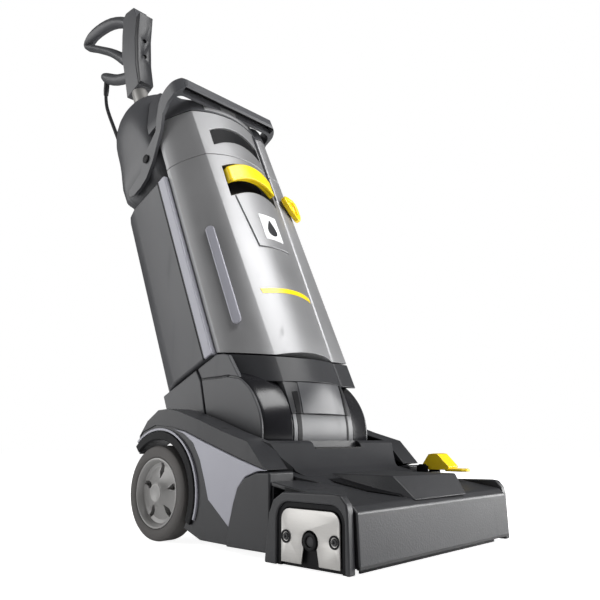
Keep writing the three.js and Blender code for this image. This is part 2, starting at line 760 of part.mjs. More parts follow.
const GRIP_HINGE_W = 409;
function tankGrip() {
  const bar = [];
  for (let i = 0; i <= 8; i++) {
    const x = -48 + i * 12;
    bar.push([x, TANK_FRONT_V - 24 + (x * x) / 250]);
  }
  const back = bar.map(([x, v]) => [x, v + 13]).reverse();
  return prismZ([...bar, ...back], 381, GRIP_HINGE_W + 3);
}

// A cap on the right-hand front corner, drawn on its corner face.
const CAP_X = 88;
const CAP_V = -70;
const CAP_W = 360;
const CAP_TURN = 55.7;
const CAP_HEIGHT = 60;
function fillerCap() {
  const half = CAP_HEIGHT / 2;
  const outline = [
    ...arc(0, half - 21, 21, 0, 180, 10),
    ...arc(0, -half + 10, 10, 200, 340, 6),
  ];
  const cap = prismY(outline, -15, -2.5);
  const hollow = new THREE.SphereGeometry(14, 16, 10).scale(0.9, 0.6, 1.5);
  return cut(cap, hollow.translate(0, -19, -2));
}

function levelWindow() {
  const strip = [...arc(0, 78, 7, 0, 180, 6), ...arc(0, -78, 7, 180, 360, 6)];
  return prismY(strip, -5, -1);
}

function badgePlate() {
  const shield = [[-40, 46], [40, 46], [33, -46], [-33, -46]];
  return prismY(shield, -3, 0);
}

// ---- Drive pieces inside the upright ----
function turnedW(profile, x, v, sides = 24) {
  const points = profile.map(([w, r]) => new THREE.Vector2(r, w));
  return new THREE.LatheGeometry(points, sides).rotateX(Math.PI / 2).translate(x, v, 0);
}

function suctionMotor() {
  return turnedW([
    [128, 0], [128, 52], [150, 58], [176, 58], [184, 40], [232, 38], [240, 14], [246, 14], [246, 0],
  ], 0, 32);
}

function waterPump() {
  return join(
    box(-80, -62, 20, 50, 130, 190),
    rodX(12, -63, -60, 35, 176, 16),
  );
}

place(upright, "knuckle_housing", knuckleHousing(), dark);
place(upright, "knuckle_panel", knucklePanel(), mid);
place(upright, "rear_housing", rearHousing(), mid);
place(upright, "head_cover", headCover(), mid);
place(upright, "suction_motor", suctionMotor(), black);
place(upright, "water_pump", waterPump(), black);
place(upright, "tank_shell", tankShell(), light);
place(upright, "tank_lid", tankLid(), light);
place(upright, "tank_grip", tankGrip(), yellow);

const capSeat = new THREE.Group();
capSeat.position.set(CAP_X, CAP_V, CAP_W);
capSeat.rotation.z = rad(CAP_TURN);
upright.add(capSeat);
place(capSeat, "filler_cap", fillerCap(), yellow);

const windowSeat = new THREE.Group();
windowSeat.position.set(-CAP_X, CAP_V, 216);
windowSeat.rotation.z = -rad(CAP_TURN);
upright.add(windowSeat);
place(windowSeat, "level_window", levelWindow(), light);

const badge = place(upright, "badge_plate", badgePlate(), mid);
badge.position.set(0, TANK_FRONT_V - TANK_BULGE - 0.5, 304);

// ---- Carry handle: a hoop over the tank's top edge that turns back to free the tank ----
function carryHandle() {
  const arm = [
    [CARRY_BAR_FRONT_V + 3, CARRY_BAR_BOTTOM_W + 1],
    [-108, 548],
    [-82, 546],
    [-64, 536],
    [-50, 512],
    [-30, 492],
    [-12, 474],
    [12, 458],
    [52, 453],
    [64, 458],
    [62, 470],
    [18, 476],
    [6, 498],
    [-8, 506],
    [-38, 520],
    [-50, 544],
    [-62, 562],
    [-84, CARRY_BAR_BOTTOM_W + CARRY_BAR_HEIGHT + 2],
    [CARRY_BAR_FRONT_V + 3, CARRY_BAR_BOTTOM_W + CARRY_BAR_HEIGHT],
  ];
  const side = prismX(arm, CARRY_HALF_WIDTH - CARRY_THICKNESS, CARRY_HALF_WIDTH);
  const bar = box(
    -CARRY_HALF_WIDTH, CARRY_HALF_WIDTH,
    CARRY_BAR_FRONT_V, CARRY_BAR_FRONT_V + CARRY_BAR_DEPTH,
    CARRY_BAR_BOTTOM_W, CARRY_BAR_BOTTOM_W + CARRY_BAR_HEIGHT,
  );
  const bore = rodX(5 + GAP, -OPEN, OPEN, 0, CARRY_PIVOT_W, 16);
  return cut(join(side, mirrorX(side), bar), bore);
}

function carryPivot() {
  return join(
    rodX(5, HEAD_HALF_WIDTH + GAP, CARRY_HALF_WIDTH + 2, 0, CARRY_PIVOT_W, 16),
    rodX(7.5, CARRY_HALF_WIDTH + GAP, CARRY_HALF_WIDTH + 2.5, 0, CARRY_PIVOT_W, 16),
  );
}

// ---- Handle tube and grip; the grip's group stands upright again ----
const gripSeat = new THREE.Group();
gripSeat.position.set(0, TUBE_V, GRIP_FOOT_W);
gripSeat.rotation.x = rad(LEAN);
upright.add(gripSeat);

// A band with one smooth outer and inner edge through the given points.
function smoothOutline(points, steps) {
  const curve = new THREE.SplineCurve(points.map(([a, b]) => new THREE.Vector2(a, b)));
  return curve.getPoints(steps).map((point) => point.toArray());
}

function gripBody() {
  const outer = smoothOutline([
    [48, 199], [75, 220], [110, 233], [152, 244], [196, 248], [232, 238], [250, 220],
    [246, 205], [210, 188], [178, 172], [140, 150], [98, 122], [66, 88],
  ], 30);
  const hoop = prismX(outer, -13, 13);
  const hole = prismX(smoothOutline([
    [78, 178], [100, 197], [150, 212], [185, 217], [208, 208], [190, 196], [140, 170],
    [104, 144], [80, 133], [74, 150], [78, 178],
  ], 22).slice(0, -1), -OPEN, OPEN);
  const post = [
    [-20, 6], [22, -12], [34, 40], [52, 100], [56, 150], [54, 196], [20, 200], [2, 172],
    [4, 120], [-4, 60],
  ];
  const horn = smoothOutline([
    [20, 30], [52, 41], [88, 50], [122, 60], [148, 72], [157, 90], [150, 106], [128, 102],
    [96, 78], [52, 68], [24, 64],
  ], 26);
  const body = join(
    cut(hoop, hole),
    prismX(post, -GRIP_HALF_WIDTH, GRIP_HALF_WIDTH),
    prismX(horn, -11, 11),
  );
  const socket = new THREE.CylinderGeometry(TUBE_RADIUS + GAP, TUBE_RADIUS + GAP, 60, 24)
    .rotateX(Math.PI / 2)
    .rotateX(-rad(LEAN));
  const room = prismX(inset(post, WALL), -GRIP_HALF_WIDTH + WALL, GRIP_HALF_WIDTH - WALL);
  return cut(body, socket, room, rockerRoom(), hornBore());
}

const ROCKER_Y = 36;
const ROCKER_Z = 198;
function rockerRoom() {
  return box(-9, 9, ROCKER_Y - 11, ROCKER_Y + 11, ROCKER_Z - 9, OPEN);
}

function powerRocker() {
  const outline = [[ROCKER_Y - 10, ROCKER_Z - 1], [ROCKER_Y + 10, ROCKER_Z - 1],
    [ROCKER_Y + 10, ROCKER_Z + 3], [ROCKER_Y, ROCKER_Z + 3.5], [ROCKER_Y - 10, ROCKER_Z + 7]];
  return prismX(outline, -8, 8);
}

const HORN_Y = 136;
function hornBore() {
  return new THREE.CylinderGeometry(6 + GAP, 6 + GAP, 40, 16)
    .rotateX(Math.PI / 2)
    .translate(0, HORN_Y, 66);
}

// A screwed cover down the front of the grip's post.
function gripFrontCover() {
  const outline = [
    [-26, 10], [-20.4, 6.5], [-4.4, 60], [3.6, 120], [1.6, 172], [-10, 176], [-8, 120], [-14, 60],
  ];
  return cut(
    prismX(outline, -GRIP_HALF_WIDTH + 1, GRIP_HALF_WIDTH - 1),
    coverScrewRod(4.5 + GAP, 78),
    coverScrewRod(4.5 + GAP, 116),
  );
}

function coverScrewRod(radius, z) {
  return new THREE.CylinderGeometry(radius, radius, 30, 16).translate(0, -9, z);
}

function gripScrew(z) {
  const back = gripPostFront(z) - 1.5;
  return new THREE.CylinderGeometry(4.5, 4.5, 5, 16).translate(0, back - 2.5, z);
}

function gripPostFront(z) {
  return THREE.MathUtils.mapLinear(z, 60, 120, -4, 4);
}

function tubeRod(radius, w0, w1) {
  return new THREE.CylinderGeometry(radius, radius, w1 - w0, 28)
    .rotateX(Math.PI / 2)
    .translate(0, TUBE_V, (w0 + w1) / 2);
}

function handleTube() {
  const head = GRIP_FOOT_W + TUBE_IN_GRIP;
  const bore = tubeRod(TUBE_RADIUS - TUBE_WALL, TUBE_FOOT_W - 1, head + 1);
  return cut(tubeRod(TUBE_RADIUS, TUBE_FOOT_W, head), bore);
}

place(upright, "carry_handle", carryHandle(), dark);
placePair(upright, "carry_pivot", carryPivot(), steel);
place(upright, "handle_tube", handleTube(), steel);
place(gripSeat, "grip_body", gripBody(), dark);
place(gripSeat, "power_rocker", powerRocker(), black);
place(gripSeat, "grip_front_cover", gripFrontCover(), mid);
place(gripSeat, "grip_screw_lower", gripScrew(78), steel);
place(gripSeat, "grip_screw_upper", gripScrew(116), steel);

// ---- Mains lead: out of the grip's horn, down to the winding on the rear hooks ----
const PITCH = 2 * LEAD_RADIUS; // turns lie side by side
const windingOuter = WINDING_INNER_RADIUS + PITCH * (WINDING_LAYERS - 1) + LEAD_RADIUS;
const windingInner = WINDING_INNER_RADIUS - LEAD_RADIUS;
const windingRear = WINDING_V + PITCH * WINDING_RANKS;
const upperHookW = WINDING_W + WINDING_RUN / 2;
const lowerHookW = WINDING_W - WINDING_RUN / 2;

function stadium(radius) {
  return [...arc(0, upperHookW, radius, 0, 180, 14), ...arc(0, lowerHookW, radius, 180, 360, 14)];
}

function leadWinding() {
  const ring = prismY(stadium(windingOuter), WINDING_V, windingRear);
  return cut(ring, prismY(stadium(windingInner), 0, OPEN));
}

// A tube along chosen points [x, v, w].
function cordAlong(points, steps) {
  const path = new THREE.CatmullRomCurve3(points.map((p) => new THREE.Vector3(...p)));
  const section = new THREE.Shape(
    arc(0, 0, LEAD_RADIUS, 0, 324, 9).map(([a, b]) => new THREE.Vector2(a, b)),
  );
  return new THREE.ExtrudeGeometry(section, { steps, extrudePath: path });
}

const leadRoute = [
  [0, 191.3, 915.1],
  [0, 197, 902.3],
  [-1, 199.3, 888],
  [-4, 198, 864],
  [-9, 190.5, 830],
  [-14, 180.5, 790],
  [-19, 170, 748],
  [-24, 160, 706],
  [-30, 150, 664],
  [-37, 141, 624],
  [-43, 133, 586],
  [-48.5, 127, 548],
  [-51.6, 124.6, 520],
  [-52.4, 124.3, 494],
];

const plugRoute = [
  [19, 122, 342],
  [12, 119.5, 350],
  [3, 117.5, 361],
  [0.4, 117, 367],
  [0, 117, 370.5],
];

// Two-pin moulded plug tucked into the winding, its cable end downwards.
const PLUG_FOOT_W = 371;
const PLUG_V = 117;
const PLUG_RADIUS = 17.5;
function mainsPlug() {
  const body = turnedW([
    [0, 0], [0, 6], [12, 8], [20, 16], [44, PLUG_RADIUS], [46, 16], [46, 0],
  ], 0, PLUG_V, 20);
  const pin = turnedW([[44, 0], [44, 2.4], [62, 2.4], [63, 1.4], [63, 0]], 0, PLUG_V, 10);
  return join(body, pin.clone().translate(-9.5, 0, 0), pin.clone().translate(9.5, 0, 0))
    .translate(0, 0, PLUG_FOOT_W);
}

// A short sleeve that eases the lead out of the horn.
function leadBoot() {
  const bore = LEAD_RADIUS + GAP;
  const profile = [[bore, 46], [5, 46], [6, 58], [6, 84], [bore, 84], [bore, 46]];
  return new THREE.LatheGeometry(profile.map(([r, z]) => new THREE.Vector2(r, z)), 20)
    .rotateX(Math.PI / 2)
    .translate(0, HORN_Y, 0);
}

const HOOK_DISC = windingInner - 4;
const HOOK_REACH = 62;
const HOOK_CLEARANCE = 2; // flanges pass the winding and the plug
const flangeV = Math.max(windingRear, PLUG_V + PLUG_RADIUS) + HOOK_CLEARANCE;

function cableHook() {
  const fan = [...arc(0, 0, HOOK_REACH, 25, 155, 14), [-HOOK_DISC, -8], [HOOK_DISC, -8]];
  return join(
    prismY(arc(0, 0, HOOK_DISC, 0, 345, 23), HOUSING_REAR_V + GAP, flangeV + 1),
    prismY(fan, flangeV, flangeV + 4),
  ).translate(0, 0, upperHookW);
}

function lowerHook() {
  const tongue = [[-18, 8], [18, 8], [14, -HOOK_REACH], [-14, -HOOK_REACH]];
  return join(
    prismY(arc(0, 0, HOOK_DISC, 0, 345, 23), HOUSING_REAR_V + GAP, flangeV + 1),
    prismY(tongue, flangeV, flangeV + 4),
  ).translate(0, 0, lowerHookW);
}

place(upright, "lead_winding", leadWinding(), rubber);
place(upright, "mains_lead", cordAlong(leadRoute, 44), rubber);
place(upright, "plug_lead", cordAlong(plugRoute, 5), rubber);
place(upright, "mains_plug", mainsPlug(), rubber);
place(gripSeat, "lead_boot", leadBoot(), rubber);
place(upright, "cable_hook", cableHook(), yellow);
place(upright, "lower_hook", lowerHook(), dark);

// The origin is on the floor, under the middle of the whole machine.
const bounds = new THREE.Box3().setFromObject(machine);
machine.position.y = -(bounds.min.y + bounds.max.y) / 2;

export default machine;
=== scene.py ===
"""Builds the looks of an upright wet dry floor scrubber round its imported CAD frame.

Shapes are drawn in millimetres in three frames: the cleaning head's, the leaning body's and the grip's.
"""
import json
import math

import bmesh
import bpy
from mathutils import Matrix, Vector

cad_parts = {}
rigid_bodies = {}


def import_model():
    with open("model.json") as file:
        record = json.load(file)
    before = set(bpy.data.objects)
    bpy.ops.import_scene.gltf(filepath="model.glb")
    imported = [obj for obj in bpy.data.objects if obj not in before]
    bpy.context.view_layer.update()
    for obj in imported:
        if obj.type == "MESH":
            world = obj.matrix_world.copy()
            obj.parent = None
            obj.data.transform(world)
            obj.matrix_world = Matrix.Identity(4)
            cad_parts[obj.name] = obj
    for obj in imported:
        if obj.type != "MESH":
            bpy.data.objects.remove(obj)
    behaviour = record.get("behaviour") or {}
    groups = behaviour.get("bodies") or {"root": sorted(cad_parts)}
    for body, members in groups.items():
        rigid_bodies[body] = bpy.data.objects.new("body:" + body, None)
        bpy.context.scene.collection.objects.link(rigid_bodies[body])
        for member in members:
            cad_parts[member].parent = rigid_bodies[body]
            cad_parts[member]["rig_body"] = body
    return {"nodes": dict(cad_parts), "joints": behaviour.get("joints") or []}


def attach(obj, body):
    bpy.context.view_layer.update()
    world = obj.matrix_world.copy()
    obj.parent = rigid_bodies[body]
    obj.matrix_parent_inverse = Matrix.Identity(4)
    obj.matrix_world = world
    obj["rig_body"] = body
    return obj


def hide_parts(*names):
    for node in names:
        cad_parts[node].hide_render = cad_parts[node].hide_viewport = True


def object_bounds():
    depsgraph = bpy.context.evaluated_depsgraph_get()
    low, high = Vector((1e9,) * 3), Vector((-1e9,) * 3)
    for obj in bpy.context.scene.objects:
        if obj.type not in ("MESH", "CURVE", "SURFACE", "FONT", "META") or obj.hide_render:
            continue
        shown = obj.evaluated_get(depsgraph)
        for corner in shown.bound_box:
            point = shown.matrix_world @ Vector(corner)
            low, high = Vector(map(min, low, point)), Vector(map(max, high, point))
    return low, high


bl_info = {
    "name": "Floor Scrubber Looks",
    "version": (1, 0, 0),
    "blender": (4, 5, 0),
    "location": "View3D > Sidebar > Scrubber",
    "description": "Shells, fittings and finishes of an upright floor scrubber",
    "category": "Add Mesh",
}

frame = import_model()
CAD_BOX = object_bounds()

# ---- Frames and driving sizes, in millimetres ----
MM = 0.001
LEAN = math.radians(24)
PIVOT_Y = 68
TILT = next(joint for joint in frame["joints"] if joint["name"] == "body_tilt")
PIVOT = Vector(TILT["pos_m"])
HEAD = Matrix.Translation((0, PIVOT.y - PIVOT_Y * MM, 0)) @ Matrix.Scale(MM, 4)
BODY = Matrix.Translation(PIVOT) @ Matrix.Rotation(-LEAN, 4, "X") @ Matrix.Scale(MM, 4)
TUBE_V = 91.5
GRIP_FOOT_W = 805
GRIP = Matrix.Translation(BODY @ Vector((0, TUBE_V, GRIP_FOOT_W))) @ Matrix.Scale(MM, 4)

WHEEL_Y = 134.6
WHEEL_Z = 60.3
DRUM_RADIUS = 87
TANK_FRONT_V = -92
TANK_BULGE = 16
TANK_HALF = 104.6
TANK_HEIGHTS = (72, 537)
CREASE_FOOT = 58.6
CREASE_TOP = 72
LEAD_RADIUS = 3.75
SIDES = (("left", -1), ("right", 1))


# ---- Mesh helpers ----
def spread(axis, a, b, c):
    """A pair in the outline's plane and a height along the axis, as a point."""
    return {"X": (c, a, b), "Y": (a, c, b), "Z": (a, b, c)}[axis]


def arc(a, b, radius, start, end, steps=12):
    """Pairs on an arc, from one angle to another in degrees."""
    angles = [math.radians(start + (end - start) * i / steps) for i in range(steps + 1)]
    return [(a + radius * math.cos(t), b + radius * math.sin(t)) for t in angles]


def prism(points, low, high, axis="Z"):
    """A new bmesh of an outline carried along an axis."""
    bm = bmesh.new()
    face = bm.faces.new([bm.verts.new(spread(axis, a, b, low)) for a, b in points])
    made = bmesh.ops.extrude_face_region(bm, geom=[face])
    far = [item for item in made["geom"] if isinstance(item, bmesh.types.BMVert)]
    bmesh.ops.translate(bm, verts=far, vec=Vector(spread(axis, 0, 0, high - low)))
    return bm


def block(x0, x1, y0, y1, z0, z1):
    """A new bmesh of a box from its corners."""
    bm = bmesh.new()
    made = bmesh.ops.create_cube(bm, size=1)["verts"]
    bmesh.ops.scale(bm, verts=made, vec=(x1 - x0, y1 - y0, z1 - z0))
    bmesh.ops.translate(bm, verts=made, vec=((x0 + x1) / 2, (y0 + y1) / 2, (z0 + z1) / 2))
    return bm


def turned(profile, centre, axis="X", steps=64):
    """A new bmesh of a profile of (along, radius) pairs turned about an axis through centre."""
    bm = bmesh.new()
    along = Vector(spread(axis, 0, 0, 1))
    out = along.orthogonal().normalized()
    line = [bm.verts.new(Vector(centre) + along * a + out * r) for a, r in profile]
    edges = [bm.edges.new(pair) for pair in zip(line, line[1:])]
    bmesh.ops.spin(bm, geom=line + edges, cent=centre, axis=along, angle=2 * math.pi,
                   steps=steps, use_merge=True)
    return bm


def tidy(bm):
    """Merges doubles and turns every face outwards."""
    bmesh.ops.remove_doubles(bm, verts=bm.verts, dist=0.002)
    bmesh.ops.recalc_face_normals(bm, faces=bm.faces)


def poured(name, bm):
    """A new mesh with all that a bmesh held."""
    mesh = bpy.data.meshes.new(name)
    bm.to_mesh(mesh)
    bm.free()
    return mesh


def placed(name, data):
    """A new object in the scene."""
    thing = bpy.data.objects.new(name, data)
    bpy.context.scene.collection.objects.link(thing)
    return thing


def held(bm):
    """A loose object that holds a bmesh for a modifier."""
    tidy(bm)
    return placed("held", poured("held", bm))


def combine(bm, *others, operation="DIFFERENCE"):
    """One bmesh from several closed ones, joined or cut one after another."""
    for other in others:
        whole = held(bm)
        tool = held(other)
        step = whole.modifiers.new("combine", "BOOLEAN")
        step.operation = operation
        step.solver = "EXACT"
        step.object = tool
        evaluated = whole.evaluated_get(bpy.context.evaluated_depsgraph_get())
        bm = bmesh.new()
        bm.from_mesh(evaluated.to_mesh())
        for holder in (whole, tool):
            mesh = holder.data
            bpy.data.objects.remove(holder)
            bpy.data.meshes.remove(mesh)
    bmesh.ops.dissolve_limit(bm, angle_limit=math.radians(0.3), verts=bm.verts, edges=bm.edges)
    return bm


def merged(*parts):
    """Several bmeshes as one piece of separate shells."""
    whole = bmesh.new()
    for part in parts:
        tidy(part)
        mesh = poured("part", part)
        whole.from_mesh(mesh)
        bpy.data.meshes.remove(mesh)
    return whole


def mirrored(bm):
    """The piece turned over to the other side."""
    copy = bm.copy()
    bmesh.ops.scale(copy, verts=copy.verts, vec=(-1, 1, 1))
    return copy


def sided(bm, sign):
    """The piece as it is for the right side, or turned over for the left."""
    return mirrored(bm) if sign < 0 else bm


def sliced(bm, half, slices):
    """Cuts the faces at even steps of x, so that the piece can be bent."""
    for i in range(1, slices):
        x = -half + 2 * half * i / slices
        bmesh.ops.bisect_plane(bm, geom=bm.verts[:] + bm.edges[:] + bm.faces[:],
                               plane_co=(x, 0, 0), plane_no=(1, 0, 0))
    return bm


def ring(low, high, inner, outer, centre=(0, 0, 0), steps=120):
    """A band turned about the X axis."""
    section = [(low, inner), (low, outer), (high, outer), (high, inner), (low, inner)]
    return turned(section, centre, steps=steps)


def skinned(loops):
    """A closed bmesh over rings of points, one after another."""
    bm = bmesh.new()
    rings = []
    for loop in loops:
        corners = [bm.verts.new(point) for point in loop]
        rings.append([bm.edges.new(pair) for pair in zip(corners, corners[1:] + corners[:1])])
    for lower, upper in zip(rings, rings[1:]):
        bmesh.ops.bridge_loops(bm, edges=lower + upper)
    for end in (rings[0], rings[-1]):
        bmesh.ops.edgenet_fill(bm, edges=end)
    return bm


def lofted(levels):
    """A closed bmesh through outlines of equal length at rising heights."""
    return skinned([[(x, v, w) for x, v in outline] for w, outline in levels])


def smoothed(piece):
    """Subdivides a piece once, live."""
    smooth = piece.modifiers.new("smooth", "SUBSURF")
    smooth.levels = 1
    smooth.render_levels = 1


def shaped(bm, move):
    """Moves every corner to where a function of (x, y, z) puts it."""
    for vert in bm.verts:
        vert.co = Vector(move(*vert.co))
    return bm


def show(name, bm, matrix, body, look, nodes=(), rounding=1.2, segments=3, angle=32):
    """Makes the piece with its look's material, rounds its edges, ties it to its body, and hides the CAD nodes
    it replaces.
    """
    tidy(bm)
    bmesh.ops.transform(bm, matrix=matrix, verts=bm.verts)
    for face in bm.faces:
        face.smooth = True
    mesh = poured(name, bm)
    piece = placed(name, mesh)
    mesh.materials.append(finish(look))
    if rounding:
        edge = piece.modifiers.new("rounded edges", "BEVEL")
        edge.width = rounding * MM
        edge.segments = segments
        edge.profile = 0.5
        edge.limit_method = "ANGLE"
        edge.angle_limit = math.radians(angle)
        edge.harden_normals = True
    else:
        mesh.set_sharp_from_angle(angle=math.radians(angle))
    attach(piece, body)
    if nodes:
        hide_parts(*([nodes] if isinstance(nodes, str) else nodes))
    return piece


def refined(node, look, rounding=0.8, segments=2, angle=35):
    """A CAD node's own shape with merged faces and rounded edges."""
    bm = bmesh.new()
    bm.from_mesh(frame["nodes"][node].data)
    bmesh.ops.transform(bm, matrix=Matrix.Scale(1 / MM, 4), verts=bm.verts)
    bmesh.ops.remove_doubles(bm, verts=bm.verts, dist=0.01)
    bmesh.ops.dissolve_limit(bm, angle_limit=math.radians(1), verts=bm.verts, edges=bm.edges)
    body = frame["nodes"][node]["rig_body"]
    return show(node + "_shell", bm, Matrix.Scale(MM, 4), body, look, node, rounding, segments, angle)


# ---- Finishes ----
BUMP_DISTANCE = 0.0006
# Look: record slot, colour, roughness, grain per metre, grain depth, metallic, coat, mottle
LOOKS = {
    "dark plastic": ("dark_plastic", (0.024, 0.0245, 0.027), 0.38, 900, 0.10, 0, 0.05, 0.25),
    "deck plastic": ("dark_plastic", (0.026, 0.0265, 0.029), 0.40, 520, 0.28, 0, 0.05, 0.30),
    "mid plastic": ("mid_plastic", (0.062, 0.063, 0.068), 0.38, 900, 0.08, 0, 0.10, 0.20),
    "tank plastic": ("light_plastic", (0.26, 0.26, 0.265), 0.42, 1200, 0.04, 0.5, 0.1, 0.12),
    "strap plastic": ("mid_plastic", (0.31, 0.31, 0.35), 0.36, 1000, 0.06, 0.1, 0.2, 0.12),
    "black plastic": ("black_plastic", (0.006, 0.006, 0.007), 0.45, 800, 0.12, 0, 0, 0.20),
    "gloss plastic": ("black_plastic", (0.010, 0.010, 0.012), 0.22, 900, 0.03, 0, 0.20, 0.15),
    "yellow plastic": ("yellow_plastic", (0.93, 0.66, 0.010), 0.27, 700, 0.03, 0, 0.45, 0.06),
    "rim plastic": ("rim_plastic", (0.30, 0.295, 0.29), 0.38, 900, 0.08, 0.15, 0.1, 0.2),
    "tyre rubber": ("tyre_rubber", (0.095, 0.090, 0.087), 0.70, 600, 0.35, 0, 0, 0.35),
    "black rubber": ("black_rubber", (0.020, 0.020, 0.021), 0.62, 700, 0.20, 0, 0, 0.2),
    "lead rubber": ("lead_sheath", (0.022, 0.022, 0.024), 0.45, 500, 0.10, 0, 0, 0.15),
    "white plate": ("light_plastic", (0.85, 0.86, 0.87), 0.35, 900, 0.03, 0, 0.2, 0.05),
    "brush bristle": ("bristle", (0.045, 0.045, 0.048), 0.75, 400, 0.8, 0, 0, 0.4),
    "motor casting": ("motor_casting", (0.05, 0.05, 0.052), 0.55, 500, 0.3, 0.3, 0, 0.3),
    "satin steel": ("satin_steel",),
}


def sockets(tree, ins, outs):
    """Names a node group's inputs, with their kinds and defaults, and its outputs."""
    for name, kind, default in ins:
        socket = tree.interface.new_socket(name, in_out="INPUT", socket_type=kind)
        socket.default_value = default
    for name, kind in outs:
        tree.interface.new_socket(name, in_out="OUTPUT", socket_type=kind)


def add_node(tree, kind, values=(), **settings):
    """A new shader node with its own settings and its inputs' values."""
    node = tree.nodes.new("ShaderNode" + kind)
    for name, value in settings.items():
        setattr(node, name, value)
    for name, value in dict(values).items():
        node.inputs[name].default_value = value
    return node


def mix(tree, low, high):
    """A node that mixes two colours."""
    return add_node(tree, "Mix", {"A": (*low, 1), "B": (*high, 1)}, data_type="RGBA")


def wire(tree, *links):
    """Links nodes, each as a source, its output, a target and its input."""
    for source, output, target, entry in links:
        tree.links.new(source.outputs[output], target.inputs[entry])


def moulded_skin():
    """Group: the grain, mottling and faint handling marks of a moulded surface."""
    name = "moulded skin"
    if name in bpy.data.node_groups:
        return bpy.data.node_groups[name]
    tree = bpy.data.node_groups.new(name, "ShaderNodeTree")
    sockets(
        tree,
        [
            ("Colour", "NodeSocketColor", (0.1, 0.1, 0.1, 1)),
            ("Grain", "NodeSocketFloat", 900),
            ("Mottle", "NodeSocketFloat", 0.2),
            ("Roughness", "NodeSocketFloat", 0.4),
        ],
        [("Colour", "NodeSocketColor"), ("Roughness", "NodeSocketFloat"), ("Height", "NodeSocketFloat")],
    )
    given = tree.nodes.new("NodeGroupInput")
    result = tree.nodes.new("NodeGroupOutput")
    place = add_node(tree, "TexCoord")
    clouds = add_node(tree, "TexNoise", {"Scale": 7, "Detail": 5})
    grain = add_node(tree, "TexNoise", {"Detail": 2})
    streaks = add_node(tree, "TexNoise", {"Scale": 60, "Detail": 8})
    stretch = add_node(tree, "Mapping", {"Scale": (1, 1, 0.12)})
    marks = add_node(tree, "MapRange", {"From Min": 0.60, "From Max": 0.72, "To Max": 0.10})
    shade = add_node(tree, "MapRange", {"From Min": 0.3, "From Max": 0.7, "To Min": -0.5, "To Max": 0.5})
    amount = add_node(tree, "Math", operation="MULTIPLY")
    lift = add_node(tree, "Math", {1: 1}, operation="ADD")
    tint = add_node(tree, "VectorMath", operation="SCALE")
    rough = add_node(tree, "Math", operation="ADD")
    drift = add_node(tree, "Math", {1: 0.12}, operation="MULTIPLY_ADD")
    wire(
        tree,
        (place, "Object", clouds, "Vector"),
        (place, "Object", grain, "Vector"),
        (place, "Object", stretch, "Vector"),
        (stretch, "Vector", streaks, "Vector"),
        (given, "Grain", grain, "Scale"),
        (clouds, "Fac", shade, "Value"),
        (shade, "Result", amount, 0),
        (given, "Mottle", amount, 1),
        (amount, 0, lift, 0),
        (given, "Colour", tint, 0),
        (lift, 0, tint, "Scale"),
        (streaks, "Fac", marks, "Value"),
        (shade, "Result", drift, 0),
        (given, "Roughness", drift, 2),
        (drift, 0, rough, 0),
        (marks, "Result", rough, 1),
        (tint, "Vector", result, "Colour"),
        (rough, 0, result, "Roughness"),
        (grain, "Fac", result, "Height"),
    )
    return tree


def new_material(name):
    """A material with its tree and its Principled shader."""
    material = bpy.data.materials.new(name)
    material.use_nodes = True
    return material, material.node_tree, material.node_tree.nodes["Principled BSDF"]


def finish(look):
    """The material of a look, made once."""
    if look in bpy.data.materials:
        return bpy.data.materials[look]
    if look == "satin steel":
        return satin_steel()
    _, colour, roughness, grain, depth, metallic, coat, mottle = LOOKS[look]
    material, tree, shader = new_material(look)
    skin = add_node(
        tree, "Group",
        {"Colour": (*colour, 1), "Grain": grain, "Mottle": mottle, "Roughness": roughness},
        node_tree=moulded_skin(),
    )
    bump = add_node(tree, "Bump", {"Strength": depth, "Distance": BUMP_DISTANCE})
    wire(
        tree,
        (skin, "Colour", shader, "Base Color"),
        (skin, "Roughness", shader, "Roughness"),
        (skin, "Height", bump, "Height"),
        (bump, "Normal", shader, "Normal"),
    )
    shine = 0.12 if look == "black plastic" else 0.3
    for name, value in (("Metallic", metallic), ("Coat Weight", coat), ("Coat Roughness", 0.25),
                        ("Specular IOR Level", shine)):
        shader.inputs[name].default_value = value
    return material


def satin_steel():
    """Brushed sheet steel with fine lines across it and a little tarnish."""
    material, tree, shader = new_material("satin steel")
    place = add_node(tree, "TexCoord")
    stretch = add_node(tree, "Mapping", {"Scale": (1, 1, 60)})
    lines = add_node(tree, "TexNoise", {"Scale": 40, "Detail": 6})
    tone = add_node(tree, "MapRange", {"To Min": 0.36, "To Max": 0.52})
    tint = mix(tree, (0.40, 0.39, 0.375), (0.50, 0.49, 0.475))
    wire(
        tree,
        (place, "Object", stretch, "Vector"),
        (stretch, "Vector", lines, "Vector"),
        (lines, "Fac", tone, "Value"),
        (lines, "Fac", tint, "Factor"),
        (tone, "Result", shader, "Roughness"),
        (tint, "Result", shader, "Base Color"),
    )
    shader.inputs["Metallic"].default_value = 0.85
    return material


# ---- Settings that a user would change ----
class ScrubberSettings(bpy.types.PropertyGroup):
    """Sizes and light of the floor scrubber's looks."""

    edge: bpy.props.FloatProperty(
        name="Edge rounding", description="Radius of the large shells' edges, in millimetres",
        default=2.2, min=0.2)
    key: bpy.props.FloatProperty(
        name="Front light", description="Power of the high front softbox",
        default=56, min=0, unit="POWER")
    side: bpy.props.FloatProperty(
        name="Side light", description="Power of the softbox behind the left side",
        default=38, min=0, unit="POWER")
    fill: bpy.props.FloatProperty(
        name="Fill light", description="Power of the low light on the right",
        default=36, min=0, unit="POWER")
    surround: bpy.props.FloatProperty(
        name="Surround", description="Brightness of the room in reflections", default=0.09, min=0)
    lens: bpy.props.FloatProperty(
        name="Lens", description="Focal length in millimetres", default=38.975, min=10)


class ScrubberOperator:
    """What every operator of the add-on shares."""

    bl_options = {"INTERNAL"}

    def execute(self, context):
        self.build(context.scene.scrubber)
        return {"FINISHED"}


